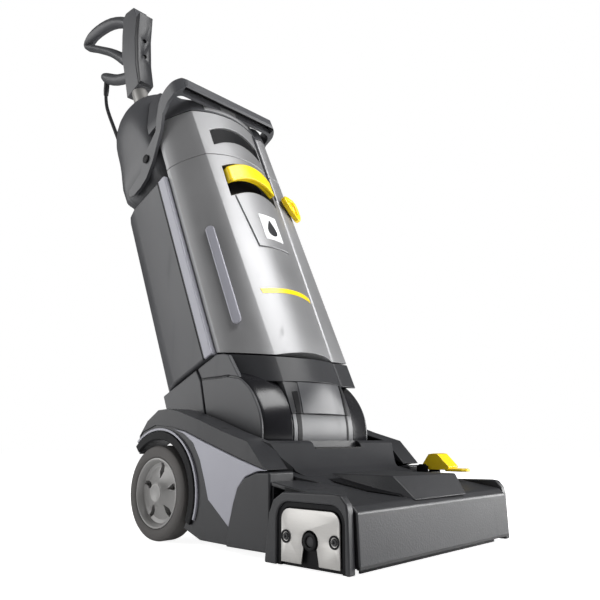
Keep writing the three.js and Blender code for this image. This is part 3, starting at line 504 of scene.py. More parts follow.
# ---- Stage ----
# The camera's place from the middle of the CAD box's front, in metres, and its angles in degrees
CAMERA_OFFSET = (-0.6743, -0.4030, 0.1290)
CAMERA_PITCH = 12.079
CAMERA_TURN = -47.105


def softbox(name, place, target, size, power):
    """An area light that faces a point."""
    data = bpy.data.lights.new(name, "AREA")
    data.shape = "RECTANGLE"
    data.size, data.size_y = size
    data.energy = power
    light = placed(name, data)
    light.location = place
    light.rotation_euler = (Vector(target) - Vector(place)).to_track_quat("-Z", "Y").to_euler()


def pale_world(surround):
    """White where the camera looks, and a dimmer room in reflections."""
    world = bpy.data.worlds.new("studio")
    world.use_nodes = True
    tree = world.node_tree
    back = tree.nodes["Background"]
    ray = add_node(tree, "LightPath")
    level = add_node(tree, "MapRange", {"To Min": surround, "To Max": 1.0})
    wire(tree, (ray, "Is Camera Ray", level, "Value"), (level, "Result", back, "Strength"))
    back.inputs["Color"].default_value = (1, 1, 1, 1)
    bpy.context.scene.world = world


def floor_material():
    """Pale studio floor."""
    material, tree, shader = new_material("studio floor")
    noise = add_node(tree, "TexNoise", {"Scale": 2})
    tint = mix(tree, (0.93, 0.93, 0.93), (0.96, 0.96, 0.96))
    ray = add_node(tree, "LightPath")
    glow = mix(tree, (0.12, 0.12, 0.12), (0.90, 0.90, 0.90))
    wire(
        tree,
        (noise, "Fac", tint, "Factor"),
        (tint, "Result", shader, "Base Color"),
        (ray, "Is Camera Ray", glow, "Factor"),
        (glow, "Result", shader, "Emission Color"),
    )
    shader.inputs["Roughness"].default_value = 0.6
    shader.inputs["Emission Strength"].default_value = 1
    return material


class SCRUBBER_OT_stage(ScrubberOperator, bpy.types.Operator):
    """Camera, floor and soft lights"""

    bl_idname = "scrubber.stage"
    bl_label = "Stage"

    def build(self, settings):
        scene = bpy.context.scene
        scene.view_settings.view_transform = "Standard"
        data = bpy.data.cameras.new("camera")
        data.lens = settings.lens
        data.sensor_width = 36
        camera = placed("camera", data)
        x, y, z = CAMERA_OFFSET
        camera.location = (x, CAD_BOX[0].y + y, z)
        camera.rotation_euler = (math.radians(90 + CAMERA_PITCH), 0, math.radians(CAMERA_TURN))
        scene.camera = camera
        pale_world(settings.surround)
        softbox("front softbox", (0.25, -1.5, 2.1), (0, 0, 0.5), (1.6, 1.2), settings.key)
        softbox("side softbox", (-1.7, 1.4, 1.0), (0, 0, 0.45), (2.0, 2.2), settings.side)
        softbox("low fill", (1.7, -1.5, 0.5), (0, -0.3, 0.1), (0.9, 0.7), settings.fill)
        bm = bmesh.new()
        bmesh.ops.create_grid(bm, x_segments=2, y_segments=2, size=6)
        floor = placed("floor", poured("floor", bm))
        floor.data.materials.append(floor_material())


# ---- Mains lead ----
LEAD_ROUTE = [
    (0, 191.3, 915.1), (0, 197, 902.3), (-1, 199.3, 888), (-4, 198, 864), (-9, 190.5, 830),
    (-14, 180.5, 790), (-19, 170, 748), (-24, 160, 706), (-30, 150, 664), (-37, 141, 624),
    (-43, 133, 586), (-48.5, 127, 548), (-51.6, 124.6, 520), (-52.4, 124.3, 494),
]
PLUG_ROUTE = [
    (30, 124.2, 322), (26, 123.4, 333), (19, 122, 342), (12, 119.5, 350), (3, 117.5, 361), (0, 117, 371),
]
WINDING_INNER = 30
WINDING_LAYERS = 4
WINDING_RANKS = 4
WINDING_TOP = 460
WINDING_BOTTOM = 296
WINDING_FRONT_V = 98
ARC_STEPS = 14


def smooth_line(points, steps=6):
    """A smooth line through chosen points, by Catmull-Rom spans."""
    line = []
    ends = [points[0]] + list(points) + [points[-1]]
    for p0, p1, p2, p3 in zip(ends, ends[1:], ends[2:], ends[3:]):
        p0, p1, p2, p3 = map(Vector, (p0, p1, p2, p3))
        for i in range(steps):
            t = i / steps
            line.append(0.5 * (2 * p1 + (p2 - p0) * t + (2 * p0 - 5 * p1 + 4 * p2 - p3) * t * t
                               + (3 * p1 - p0 - 3 * p2 + p3) * t ** 3))
    return line + [Vector(points[-1])]


def winding_cells():
    """Radius and v of each turn's centre, outermost layer first, in the order it is wound."""
    cells = []
    pitch = 2 * LEAD_RADIUS
    for layer in reversed(range(WINDING_LAYERS)):
        ranks = list(range(WINDING_RANKS))
        if (WINDING_LAYERS - 1 - layer) % 2 == 0:
            ranks.reverse()
        cells += [(WINDING_INNER + layer * pitch, WINDING_FRONT_V + (rank + 0.5) * pitch) for rank in ranks]
    return cells


def winding_line():
    """The turns round both hooks: down on the left, up on the right, changing place over the top."""
    cells = winding_cells()
    line = []
    span = WINDING_TOP - WINDING_BOTTOM
    for turn, (radius, v) in enumerate(cells):
        line += [Vector((-radius, v, WINDING_TOP - span * i / 5)) for i in range(5)]
        for i in range(ARC_STEPS + 1):
            angle = math.pi * (1 + i / ARC_STEPS)
            line.append(Vector((radius * math.cos(angle), v, WINDING_BOTTOM + radius * math.sin(angle))))
        if turn == len(cells) - 1:
            break
        line += [Vector((radius, v, WINDING_BOTTOM + span * i / 5)) for i in range(1, 5)]
        next_radius, next_v = cells[turn + 1]
        for i in range(ARC_STEPS):
            share = i / ARC_STEPS
            ease = share * share * (3 - 2 * share)
            r = radius + (next_radius - radius) * ease
            angle = math.pi * share
            up = WINDING_TOP + r * math.sin(angle)
            line.append(Vector((r * math.cos(angle), v + (next_v - v) * ease, up)))
    return line


class SCRUBBER_OT_lead(ScrubberOperator, bpy.types.Operator):
    """Mains lead from the grip to its winding and plug"""

    bl_idname = "scrubber.lead"
    bl_label = "Mains lead"

    def build(self, settings):
        line = smooth_line(LEAD_ROUTE) + winding_line() + smooth_line(PLUG_ROUTE)
        points = [BODY @ point for point in line]
        data = bpy.data.curves.new("mains_lead_line", "CURVE")
        data.dimensions = "3D"
        data.bevel_depth = LEAD_RADIUS * MM
        data.bevel_resolution = 3
        data.use_fill_caps = True
        spline = data.splines.new("POLY")
        spline.points.add(len(points) - 1)
        for knot, point in zip(spline.points, points):
            knot.co = (*point, 1)
        spline.use_smooth = True
        lead = placed("mains_lead_line", data)
        data.materials.append(finish("lead rubber"))
        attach(lead, "upright")
        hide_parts("mains_lead", "lead_winding", "plug_lead")
        plug = refined("mains_plug", "lead rubber", 1.0)
        boot = refined("lead_boot", "lead rubber", 0.4)


# ---- Cleaning head ----
DECK_HALF = 156.7


class SCRUBBER_OT_deck(ScrubberOperator, bpy.types.Operator):
    """Fascia and sloped deck with its raised tongue"""

    bl_idname = "scrubber.deck"
    bl_label = "Deck"

    def build(self, settings):
        skin = [(-199.6, 7), (-199.2, 13), (-196.9, 59), (-190.6, 65.4), (-64, 86), (-64, 81),
                (-188.5, 60.6), (-192.6, 56.5), (-195.4, 7)]
        notches = [block(s * 137.7 - 20, s * 137.7 + 20, -78.7, -40, 0, 120) for s in (-1, 1)]
        deck = combine(prism(skin, -DECK_HALF, DECK_HALF, "X"), *notches)
        show("deck_shell", deck, HEAD, "base", "deck plastic", "deck_cover", settings.edge, 3)
        step = prism([(-184, 65), (-178, 69.6), (-64, 88.2), (-64, 84)], -78, 64, "X")
        corners = [(-78, -50), (64, -50), (64, -168), (52, -190), (-52, -190), (-78, -150)]
        step = combine(step, prism(corners, 0, 120), operation="INTERSECT")
        show("deck_step", step, HEAD, "base", "black plastic", rounding=0.8)
        foot = [(-64, -60), (-64, -150), (-50, -195), (56, -197), (56, -60)]
        top = [(-50, -60), (-50, -130), (-48, -163), (50, -187), (50, -60)]
        tongue = lofted([(64, foot), (88.6, top)])
        show("deck_tongue", tongue, HEAD, "base", "deck plastic", rounding=1.6)
        lip = prism([(-199.7, 6.9), (-199.5, 10.5), (-195, 10.5), (-195, 6.9)], -DECK_HALF, DECK_HALF, "X")
        show("fascia_lip", lip, HEAD, "base", "black rubber", rounding=0.6)


def plate_outline(grow):
    """The steel end plate's outline, grown by a distance, without its notch."""
    corner = 11 + grow
    front, rear, foot, top = -183 - grow, -104 + grow, -6, 59 + grow
    return [(front, foot), (rear, foot), *arc(rear - corner, top - corner, corner, 0, 90, 6),
            *arc(front + corner, top - corner, corner, 90, 180, 6)]


class SCRUBBER_OT_ends(ScrubberOperator, bpy.types.Operator):
    """Hoods over both ends of the brush, round the steel plates"""

    bl_idname = "scrubber.ends"
    bl_label = "End hoods"

    def build(self, settings):
        outline = [(-195, 2), (-193.6, 60), (-192, 67), (-185, 75), (-176, 76), (-106, 74.5),
                   (-92, 66), (-86, 52), (-80.5, 8), (-80, 2)]
        gap = [(-198.4, 8), (-196, 58), (-190, 64.6), (-100, 79), (-100, 8)]
        for side, sign in SIDES:
            filler = prism(gap, 156.76, 157.24, "X")
            show("hood_gap_" + side, sided(filler, sign), HEAD, "base", "black plastic", rounding=0)
            hood = prism(outline, 157.3, 167.4, "X")
            hood = combine(hood, prism(plate_outline(6.5), 161, 180, "X"))
            lining = prism(plate_outline(6.2), 158, 161.4, "X")
            ledge = combine(prism(plate_outline(6.2), 161.2, 164.6, "X"),
                            prism(plate_outline(1.2), 160, 170, "X"))
            inside = [combine(part, block(150, 175, -230, -60, 2, 90), operation="INTERSECT")
                      for part in (lining, ledge)]
            show("end_hood_" + side, sided(hood, sign), HEAD, "base", "deck plastic",
                 "end_cover_" + side, 1.8, 3)
            show("end_lining_" + side, sided(merged(*inside), sign), HEAD, "base", "black plastic",
                 rounding=0.5)


def fender_outline():
    """The wheel cover's side, from the front foot round the arch to its tail."""
    return [(-78.7, 8), (46, 10), *arc(WHEEL_Y, WHEEL_Z, 68, 215, 45, 20), (188, 117), (184, 133),
            (165, 153), (141, 166.5), (118, 168), (96, 164), (52, 152), (8, 138), (-37, 126), (-41, 95),
            (-78.7, 78)]


class SCRUBBER_OT_saddle(ScrubberOperator, bpy.types.Operator):
    """Wheel covers, straps, side panels and the saddle in front of the drum"""

    bl_idname = "scrubber.saddle"
    bl_label = "Saddle and wheel covers"

    def build(self, settings):
        flank = [(183, 132), (165, 153), (141, 167), (118, 168.3), (96, 164.5), (52, 152.4), (8, 138.4),
                 (-37, 126.4), (-67, 95), (-20, 108), (40, 126), (80, 139), (106, 144), (146, 147),
                 (176, 138)]
        strap = [(104, 142), (80, 135), (61, 124), (47, 104), (37, 80), (29, 58), (-9, 30), (-12, 36),
                 (-17.5, 57), (-24, 74), (-36, 87), (-55, 93.5), (-68, 94.5), (-20, 107.4),
                 (40, 125.4), (80, 138.4)]
        panel = [(-6, 8.6), (-10.4, 34), (-16.5, 56.5), (-23, 73), (-35, 85.5), (-55, 92), (-77, 93),
                 (-77.8, 8.6)]
        lip = arc(WHEEL_Y, WHEEL_Z, 68, 206, 48, 24) + arc(WHEEL_Y, WHEEL_Z, 79, 48, 206, 24)
        fin = arc(WHEEL_Y, WHEEL_Z, 80, 200, 52, 24) + arc(WHEEL_Y, WHEEL_Z, 83, 52, 200, 24)
        for side, sign in SIDES:
            core = combine(prism(fender_outline(), 118, 153, "X"), block(110, 150, -80, 60, 12, 70))
            names = ["body_cover"] if side == "left" else []
            show("wheel_cover_" + side, sided(core, sign), HEAD, "base", "dark plastic", names, 3, 4)
            for name, outline, low, high, look, rounding, segments in (
                ("flank_", flank, 118, 154.6, "dark plastic", 4.5, 4),
                ("strap_", strap, 150, 156.6, "strap plastic", 1.4, 3),
                ("side_panel_", panel, 118, 157.8, "dark plastic", 2.4, 3),
                ("arch_lip_", lip, 146, 156.8, "black plastic", 1.6, 3),
                ("arch_line_", fin, 150, 155.6, "strap plastic", 0.5, 3),
            ):
                piece = sided(prism(outline, low, high, "X"), sign)
                show(name + side, piece, HEAD, "base", look, rounding=rounding, segments=segments)
        rim = arc(68, 135, 92.4, 186, 207, 8)
        bridge = [(-96, 81), (-66, 92), (-52, 108), (-43, 124), (-37, 127), *rim, (-30, 84)]
        plan = [(-146, 100), (-146, -22), (-104, -62), (-100, -100), (100, -100), (104, -62), (146, -22),
                (146, 100)]
        cowl = combine(prism(bridge, -147, 147, "X"), prism(plan, 0, 200), operation="INTERSECT")
        cowl = combine(cowl, block(-48, 48, -70, -36, 118.5, 140))
        show("saddle_front", cowl, HEAD, "base", "dark plastic", rounding=2.2)
        tray = block(-48, 48, -47, -36, 112, 119)
        show("saddle_slot", tray, HEAD, "base", "black plastic", rounding=0.5)
        ramp = prism([(-112, 76), (-96, 82.6), (-60, 92), (-60, 84), (-112, 74)], -117, 117, "X")
        plan = [(-117, 0), (-117, -78), (-92, -114), (92, -114), (117, -78), (117, 0)]
        ramp = combine(ramp, prism(plan, 0, 200), operation="INTERSECT")
        show("saddle_ramp", ramp, HEAD, "base", "dark plastic", rounding=1.2)


class SCRUBBER_OT_wheels(ScrubberOperator, bpy.types.Operator):
    """Tyres on dished five-spoke rims"""

    bl_idname = "scrubber.wheels"
    bl_label = "Wheels"

    def build(self, settings):
        tread = [(129.8, 44.8), (129.8, 54), (130.6, 57.4), (133, 59.6), (136, 60.2), (152.6, 60.2),
                 (155.8, 59.4), (157.8, 57.2), (158.6, 54), (158.4, 48), (157.2, 45.6),
                 (156, 44.8), (129.8, 44.8)]
        dish = [(131, 6.4), (131, 44.5), (157.2, 44.5), (157.6, 42.6), (155, 40.4), (149, 38.6), (147, 34),
                (150.5, 20), (155.6, 14.5), (157.4, 12.6), (157.6, 0), (153.4, 0), (153.4, 6.4), (131, 6.4)]
        centre = (0, WHEEL_Y, WHEEL_Z)
        for side, sign in SIDES:
            rim = turned(dish, centre, steps=80)
            for spoke in range(5):
                slot = []
                for radius, half in ((18.5, 1.5), (27, 9.5), (38, 3.5), (38, -3.5), (27, -9.5),
                                     (18.5, -1.5)):
                    angle = math.radians(72 * spoke + 18 + half)
                    slot.append((WHEEL_Y + radius * math.cos(angle), WHEEL_Z + radius * math.sin(angle)))
                rim = combine(rim, prism(slot, 120, 170, "X"))
            button = [(157, 0), (157, 12.4), (158.2, 11.8), (158.5, 10), (158, 9), (158, 0)]
            cap = turned(button, centre, steps=40)
            pieces = [(turned(tread, centre, steps=96), "tyre", "tyre rubber"), (rim, "rim", "rim plastic"),
                      (cap, "hub_cap", "rim plastic")]
            for bm, name, look in pieces:
                nodes = [name + "_" + side] if name != "hub_cap" else []
                label = name + ("_shell_" if nodes else "_") + side
                show(label, sided(bm, sign), HEAD, "wheel_" + side, look, nodes, 0.7, 2)


class SCRUBBER_OT_pedal(ScrubberOperator, bpy.types.Operator):
    """Yellow foot pedal: a ribbed wedge with a flat toe"""

    bl_idname = "scrubber.pedal"
    bl_label = "Foot pedal"

    def build(self, settings):
        wedge = [(-92, 93), (-95, 98), (-103, 108.5), (-111, 109.6), (-117, 109), (-134, 92.4), (-132, 88),
                 (-96, 88)]
        body = prism(wedge, 125, 151, "X")
        for x in (129, 136.4, 143.8):
            body = combine(body, prism([(-98, 100), (-104, 111), (-98, 111)], x, x + 3, "X"))
        toe = prism([(128, -126), (148, -126), (148, -151), (143, -156), (133, -156), (128, -151)], 86, 90)
        show("pedal_tread", body, HEAD, "pedal", "yellow plastic", "foot_pedal", 1.6)
        show("pedal_toe", toe, HEAD, "pedal", "yellow plastic", rounding=1.2)


# ---- Leaning body ----
# Height, front and bulge of the drum's front panel, from the top down.
DRUM_FACE_LEVELS = [
    (60, 105, 16), (44, 106, 15.5), (30, 105, 14), (18, 102.5, 11), (8, 99.5, 8), (-2, 96, 5),
    (-12, 92.6, 2),
]
DRUM_FACE_HALF = 60
DRUM_FACE_BACK = -70


def drum_face(left, right, proud, first=0):
    """A crowned strip down the drum's front between two x, raised by a little."""
    rings = []
    for w, front, bulge in DRUM_FACE_LEVELS[first:]:
        xs = [left + (right - left) * i / 12 for i in range(13)]
        outline = [(x, -front - proud + bulge * (x / DRUM_FACE_HALF) ** 2) for x in xs]
        rings.append((w, outline + [(right, DRUM_FACE_BACK), (left, DRUM_FACE_BACK)]))
    return lofted(list(reversed(rings)))


class SCRUBBER_OT_knuckle(ScrubberOperator, bpy.types.Operator):
    """Tilting drum with its side discs, skirt and front panel"""

    bl_idname = "scrubber.knuckle"
    bl_label = "Tilting drum"

    def build(self, settings):
        drum = [(-91, 72), *arc(0, 0, DRUM_RADIUS, 153.4, 374.6, 40), (98, 60), (98, 104), (-31, 104)]
        barrel = [(-104.6, 0), (-104.6, 80), (-100, 83.5), (-62, 90), (-58, DRUM_RADIUS),
                  (58, DRUM_RADIUS), (62, 90), (100, 83.5), (104.6, 80), (104.6, 0)]
        barrel = turned(barrel, (0, 0, 0), steps=120)
        front = block(-110, 110, -100, 40, -100, 64)
        barrel = combine(barrel, front, operation="INTERSECT")
        show("drum_barrel", barrel, BODY, "upright", "gloss plastic", rounding=1)
        core = combine(prism(drum, -104.5, 104.5, "X"), block(-120, 120, -120, -30, -120, 130))
        show("drum_shell", core, BODY, "upright", "dark plastic", "knuckle_housing", 3, 4)
        neck = lofted([(w, tank_section(74, 0, -28)) for w in (20, 106)])
        under = [(-112, 61.6), (-91, 72.4), (-31, 103.6), (-20, 103.6), (-20, 60),
                 (-44, 58), (-68, 46), (-90, 34), (-112, 26)]
        neck = combine(neck, prism(under, -150, 150, "X"), operation="INTERSECT")
        show("neck", neck, BODY, "upright", "dark plastic", rounding=1.4, angle=14)
        disc = [(8, 84), (-20, 72), (-44, 62), (-62, 50), *arc(0, 0, 80, 144, 250, 20), (30, -74), (22, 0)]
        skirt = [(-62, 52), (-44, 64), (-20, 74), (8, 86), (11, 103), (-31, 103), (-44, 97), (-54, 90)]
        rear = [(33, -70), *arc(0, 0, 83, 300, 374, 10), (96, 60), (96, 103), (14, 103), (11, 84), (25, 0)]
        for side, sign in SIDES:
            for name, outline, top in (("drum_disc_", disc, 107.9), ("drum_skirt_", skirt, 107),
                                       ("drum_rear_", rear, 107.4)):
                piece = sided(prism(outline, 100, top, "X"), sign)
                show(name + side, piece, BODY, "upright", "mid plastic", rounding=1.8)
        show("drum_face", drum_face(-61, 61, 0), BODY, "upright", "dark plastic", "knuckle_panel", 1)
        show("drum_front", drum_face(-42, 43, 0.9), BODY, "upright", "mid plastic", rounding=0.7)
        band = ring(-61, 61, 80, 90.6)
        band = combine(band, block(-60, 60, -100, -40, -60, 4), operation="INTERSECT")
        show("drum_band", band, BODY, "upright", "mid plastic", rounding=0.5)
        bars = [ring(-53, -45, 80, 91.1), ring(46.5, 50, 80, 91.1)]
        bars = [combine(bar, block(-60, 60, -100, -40, -60, -2), operation="INTERSECT") for bar in bars]
        slots = merged(*bars, drum_face(-53, -45, 0.6, 3), drum_face(46.5, 50.5, 0.7))
        show("drum_slots", slots, BODY, "upright", "black plastic", rounding=0)


def housing_outline(half, front, rear):
    """The housing's section with rounded rear corners."""
    right = [(half, front), (half, rear - 38), (half - 5, rear - 18),
             (half - 13, rear - 6), (half - 26, rear)]
    return right + [(-x, v) for x, v in reversed(right)]


class SCRUBBER_OT_housing(ScrubberOperator, bpy.types.Operator):
    """Rear housing with its rails and panel lines"""

    bl_idname = "scrubber.housing"
    bl_label = "Rear housing"

    def build(self, settings):
        shell = prism(housing_outline(111.8, -27, 97), 104.4, 430)
        show("housing_shell", shell, BODY, "upright", "mid plastic", "rear_housing", 4, 4)
        for side, sign in SIDES:
            rail = block(100, 112, -29, -12.4, 105, 429)
            seam = block(110.9, 112, -11.8, -9.4, 105, 429)
            for bm, name, look, edge in ((rail, "housing_rail_", "strap plastic", 1.6),
                                         (seam, "housing_seam_", "black plastic", 0)):
                show(name + side, sided(bm, sign), BODY, "upright", look, rounding=edge)
        vents = [block(-70, 70, 96, 97.8, 126 + 11 * i, 131 + 11 * i) for i in range(5)]
        show("housing_vents", merged(*vents), BODY, "upright", "black plastic", rounding=0.8)


def crease_at(w):
    """Half the width of the tank's front between its creases at a height."""
    foot, top = TANK_HEIGHTS
    return CREASE_FOOT + (CREASE_TOP - CREASE_FOOT) * (w - foot) / (top - foot)


def crown_front(x, w):
    """The v of the tank's crowned front at x, w; its creases draw in towards the foot."""
    share = min(1, abs(x) / crease_at(w))
    return TANK_FRONT_V - TANK_BULGE * (1 - share * share)


def tank_section(w, inset=0, back=-31.2):
    """The tank's outline at a height: crowned front, sharp creases, rounded sides."""
    crease = crease_at(w) - inset
    front = [(crease * (1 - i / 6), crown_front(crease * (1 - i / 6), w) + inset) for i in range(13)]
    turn = ((0.04, -91), (0.3, -81), (0.55, -69.5), (0.78, -57), (0.93, -46))
    left = [(crease + (TANK_HALF - crease) * t, v) for t, v in turn]
    right = [(crease + 3, -93), (crease + 12, -93.4), (94, -91), (100, -86), (103.6, -78)]
    edge = TANK_HALF - inset
    left, right = ([(x - inset, v + inset) for x, v in side] + [(edge, side[-1][1] + 8), (edge, back)]
                   for side in (left, right))
    return [(-x, v) for x, v in reversed(left)] + list(reversed(front)) + right


def arched(x, low, rise, height, steps=10):
    """A band between two shallow arches: half width, foot, rise and height."""
    shares = [2 * i / steps - 1 for i in range(steps + 1)]
    bottom = [(x * t, low + rise * (1 - t * t)) for t in shares]
    return bottom + [(a, b + height) for a, b in reversed(bottom)]


def crowned(outline, proud, thick, slices=12):
    """A thin plate of an (x, w) outline that lies on the tank's crowned front."""
    bm = prism(outline, -proud, thick - proud, "Y")
    half = max(point[0] for point in outline)
    return shaped(sliced(bm, half, slices), lambda x, v, w: (x, v + crown_front(x, w), w))


class SCRUBBER_OT_tank(ScrubberOperator, bpy.types.Operator):
    """Tank with its lid, recesses, shield, badge and stripe"""

    bl_idname = "scrubber.tank"
    bl_label = "Tank"

    def build(self, settings):
        heights = [74 + 365.4 * i / 12 for i in range(13)]
        body = lofted([(w, tank_section(w)) for w in heights])
        shelf = prism([(-140, 49), (20, 133), (20, 0), (-140, 0)], -150, 150, "X")
        recess = prism(arched(51, 353, 12, 62), -140, -76, "Y")
        body = combine(body, shelf, recess)
        show("tank_body", body, BODY, "tank", "tank plastic", "tank_shell", 1.2, 3, 14)
        lid = lofted([(w, tank_section(w)) for w in (440.6, 490, 536.8)])
        lid = combine(lid, prism(arched(52, 462, 14, 33), -140, -70, "Y"))
        show("tank_lid_shell", lid, BODY, "tank", "tank plastic", "tank_lid", 1.2, 3, 14)
        joint = lofted([(w, tank_section(w, 1.4)) for w in (438, 442)])
        show("tank_seam", joint, BODY, "tank", "black plastic", rounding=0)
        back = crowned(arched(50.7, 353.3, 12, 61.4), -20, 6)
        slot_back = crowned(arched(51.7, 462.3, 14, 32.4), -4, 8)
        show("recess_backs", merged(back, slot_back), BODY, "tank", "black plastic", rounding=0)
        arch = [(45 - 9 * i, 354 + 11 * (1 - (1 - i / 5) ** 2)) for i in range(11)]
        shield = [(-32, 256), (32, 256), *arch]
        show("badge_shield", crowned(shield, 2.4, 3.4), BODY, "tank", "tank plastic", "badge_plate", 0.9)
        show("badge_label", crowned([(-16, 271), (21, 271), (21, 320), (-16, 320)], 3.3, 2), BODY, "tank",
             "white plate", rounding=0.3)
        drop = [(2.5, 311), (-3.2, 300), (-6.6, 292), *arc(2.5, 288, 9.4, 160, 380, 12), (8.2, 300)]
        show("badge_mark", crowned(drop, 3.8, 1.5), BODY, "tank", "dark plastic", rounding=0)
        strap = [(57, 385), (66, 386), (66, 532), (57, 532)]
        show("tank_strap", crowned(strap, 1.6, 3, 4), BODY, "tank", "dark plastic", rounding=0.6)
        stripe = [(-50, 172), (-52, 180), (52, 181), (52, 173)]
        show("tank_stripe", crowned(stripe, 0.5, 1.5, 16), BODY, "tank", "yellow plastic", rounding=0)


class SCRUBBER_OT_latch(ScrubberOperator, bpy.types.Operator):
    """Yellow tank grip, filler cap and level rib"""

    bl_idname = "scrubber.latch"
    bl_label = "Yellow fittings"

    def build(self, settings):
        bar = prism(arched(48, 381, 12, 29), -14, -1, "Y")
        lip = prism(arched(46, 378.5, 12, 6), -14.6, -9, "Y")
        front, curve = -101.4, 250
        parts = [shaped(sliced(bm, 48, 12), lambda x, v, w: (x, v + front + x * x / curve, w))
                 for bm in (bar, lip)]
        show("tank_grip_bar", parts[0], BODY, "tank_latch", "yellow plastic", "tank_grip", 3.4, 4)
        show("tank_grip_lip", parts[1], BODY, "tank_latch", "yellow plastic", rounding=1.6)
        rim = [(-16, 19), (-8, 22), (10, 22), (18, 17), (20, 6), (19, -12), (13, -23), (5, -23),
               (-7, -10), (-18, 6), (-19, 14)]
        cap = prism(rim, 0, 9, "Y")
        dish = prism([(a * 0.62, b * 0.66 + 1) for a, b in rim], -1, 5, "Y")
        cap = combine(cap, dish)
        turn = Matrix.Translation((92, -103, 372)) @ Matrix.Rotation(math.radians(12), 4, "Z")
        bmesh.ops.transform(cap, matrix=turn, verts=cap.verts)
        show("filler_cap_shell", cap, BODY, "cap", "yellow plastic", "filler_cap", 2.4, 4)
        refined("level_window", "strap plastic", 2.0, 3)


def oval(half_x, front, rear, squareness, steps=40):
    """A rounded section between a front and a rear v; squareness 2 is an ellipse."""
    middle = (front + rear) / 2
    depth = (rear - front) / 2
    points = []
    for i in range(steps):
        t = 2 * math.pi * i / steps
        c, s = math.cos(t), math.sin(t)
        points.append((half_x * math.copysign(abs(c) ** (2 / squareness), c),
                       middle + depth * math.copysign(abs(s) ** (2 / squareness), s)))
    return points


class SCRUBBER_OT_crown(ScrubberOperator, bpy.types.Operator):
    """Domed head cover with the visor over the tank"""

    bl_idname = "scrubber.crown"
    bl_label = "Dome and visor"

    def build(self, settings):
        # Height, half width, front, rear and squareness
        levels = [(430.6, 110, -28, 96.5, 8), (500, 109, -28, 96.5, 7), (535, 107, -28, 97, 5),
                  (570, 105, -29, 108, 3.6), (605, 103.5, -30, 121, 2.8), (640, 97, -28, 124.5, 2.4),
                  (670, 84, -20, 119, 2.2), (694, 64, -5, 106, 2.1), (709, 40, 13, 86, 2),
                  (715.4, 15, 33, 64, 2)]
        dome = lofted([(w, oval(*size)) for w, *size in levels])
        shell = show("dome", dome, BODY, "upright", "mid plastic", "head_cover", 0)
        smoothed(shell)
        # Height, share of the tank's width, and the v that cuts the front off
        cuts = [(538.4, 1, -200), (559, 0.985, -200), (563, 0.97, -104), (588, 0.90, -72), (622, 0.80, -44),
                (640, 0.72, -26)]
        top = tank_section(TANK_HEIGHTS[1], 0, -12)
        visor = lofted([(w, [(x * share, max(v, front)) for x, v in top]) for w, share, front in cuts])
        show("visor", visor, BODY, "upright", "mid plastic", rounding=1.8, angle=24)
        band = [(-50, 541), (50, 541), (50, 558), (-50, 558)]
        show("visor_band", crowned(band, 0.9, 2), BODY, "upright", "tank plastic", rounding=0.5)


class SCRUBBER_OT_carry(ScrubberOperator, bpy.types.Operator):
    """Carrying hoop with a grooved bar and two pivots"""

    bl_idname = "scrubber.carry"
    bl_label = "Carrying hoop"

    def build(self, settings):
        arm = [(-122, 554), (-118, 549.4), (-108, 548), (-82, 546), (-64, 536), (-50, 512), (-30, 492),
               (-12, 474), (12, 458), (30, 453.4), (52, 453), (62, 458), (64, 463), (60, 470), (40, 474),
               (22, 478), (6, 498), (-8, 506), (-38, 520), (-50, 544), (-62, 562), (-72, 570), (-86, 573),
               (-118, 572.6), (-122, 568)]
        outer = [(-111.9, 80), *arc(-81.9, -95, 30, 180, 270, 10), *arc(81.9, -95, 30, 270, 360, 10),
                 (111.9, 80)]
        inner = [(-106.1, 90), *arc(-92.1, -89, 14, 180, 270, 6), *arc(92.1, -89, 14, 270, 360, 6),
                 (106.1, 90)]
        hoop = combine(prism(arm, -112, 112, "X"), prism(outer, 400, 600), operation="INTERSECT")
        hoop = combine(hoop, prism(inner, 400, 600))
        hoop = combine(hoop, block(-100, 100, -119, -108, 540, 564))
        show("carry_hoop", hoop, BODY, "carry", "mid plastic", "carry_handle", 2.2, 4, 40)
        groove = block(-99, 99, -118.6, -108.4, 561, 564.6)
        show("carry_groove", groove, BODY, "carry", "black plastic", rounding=0)


def swept(stations, half):
    """Ellipses along a path in the side plane: (y, z, half height) each, closed at both ends."""
    loops = []
    for i, (y, z, thick) in enumerate(stations):
        before, after = stations[max(0, i - 1)], stations[min(len(stations) - 1, i + 1)]
        along = Vector((0, after[0] - before[0], after[1] - before[1])).normalized()
        across = Vector((0, -along.z, along.y))
        angles = [2 * math.pi * k / 20 for k in range(20)]
        centre = Vector((0, y, z))
        loops.append([centre + across * (thick * math.sin(t)) + Vector((half * math.cos(t), 0, 0))
                      for t in angles])
    return skinned(loops)


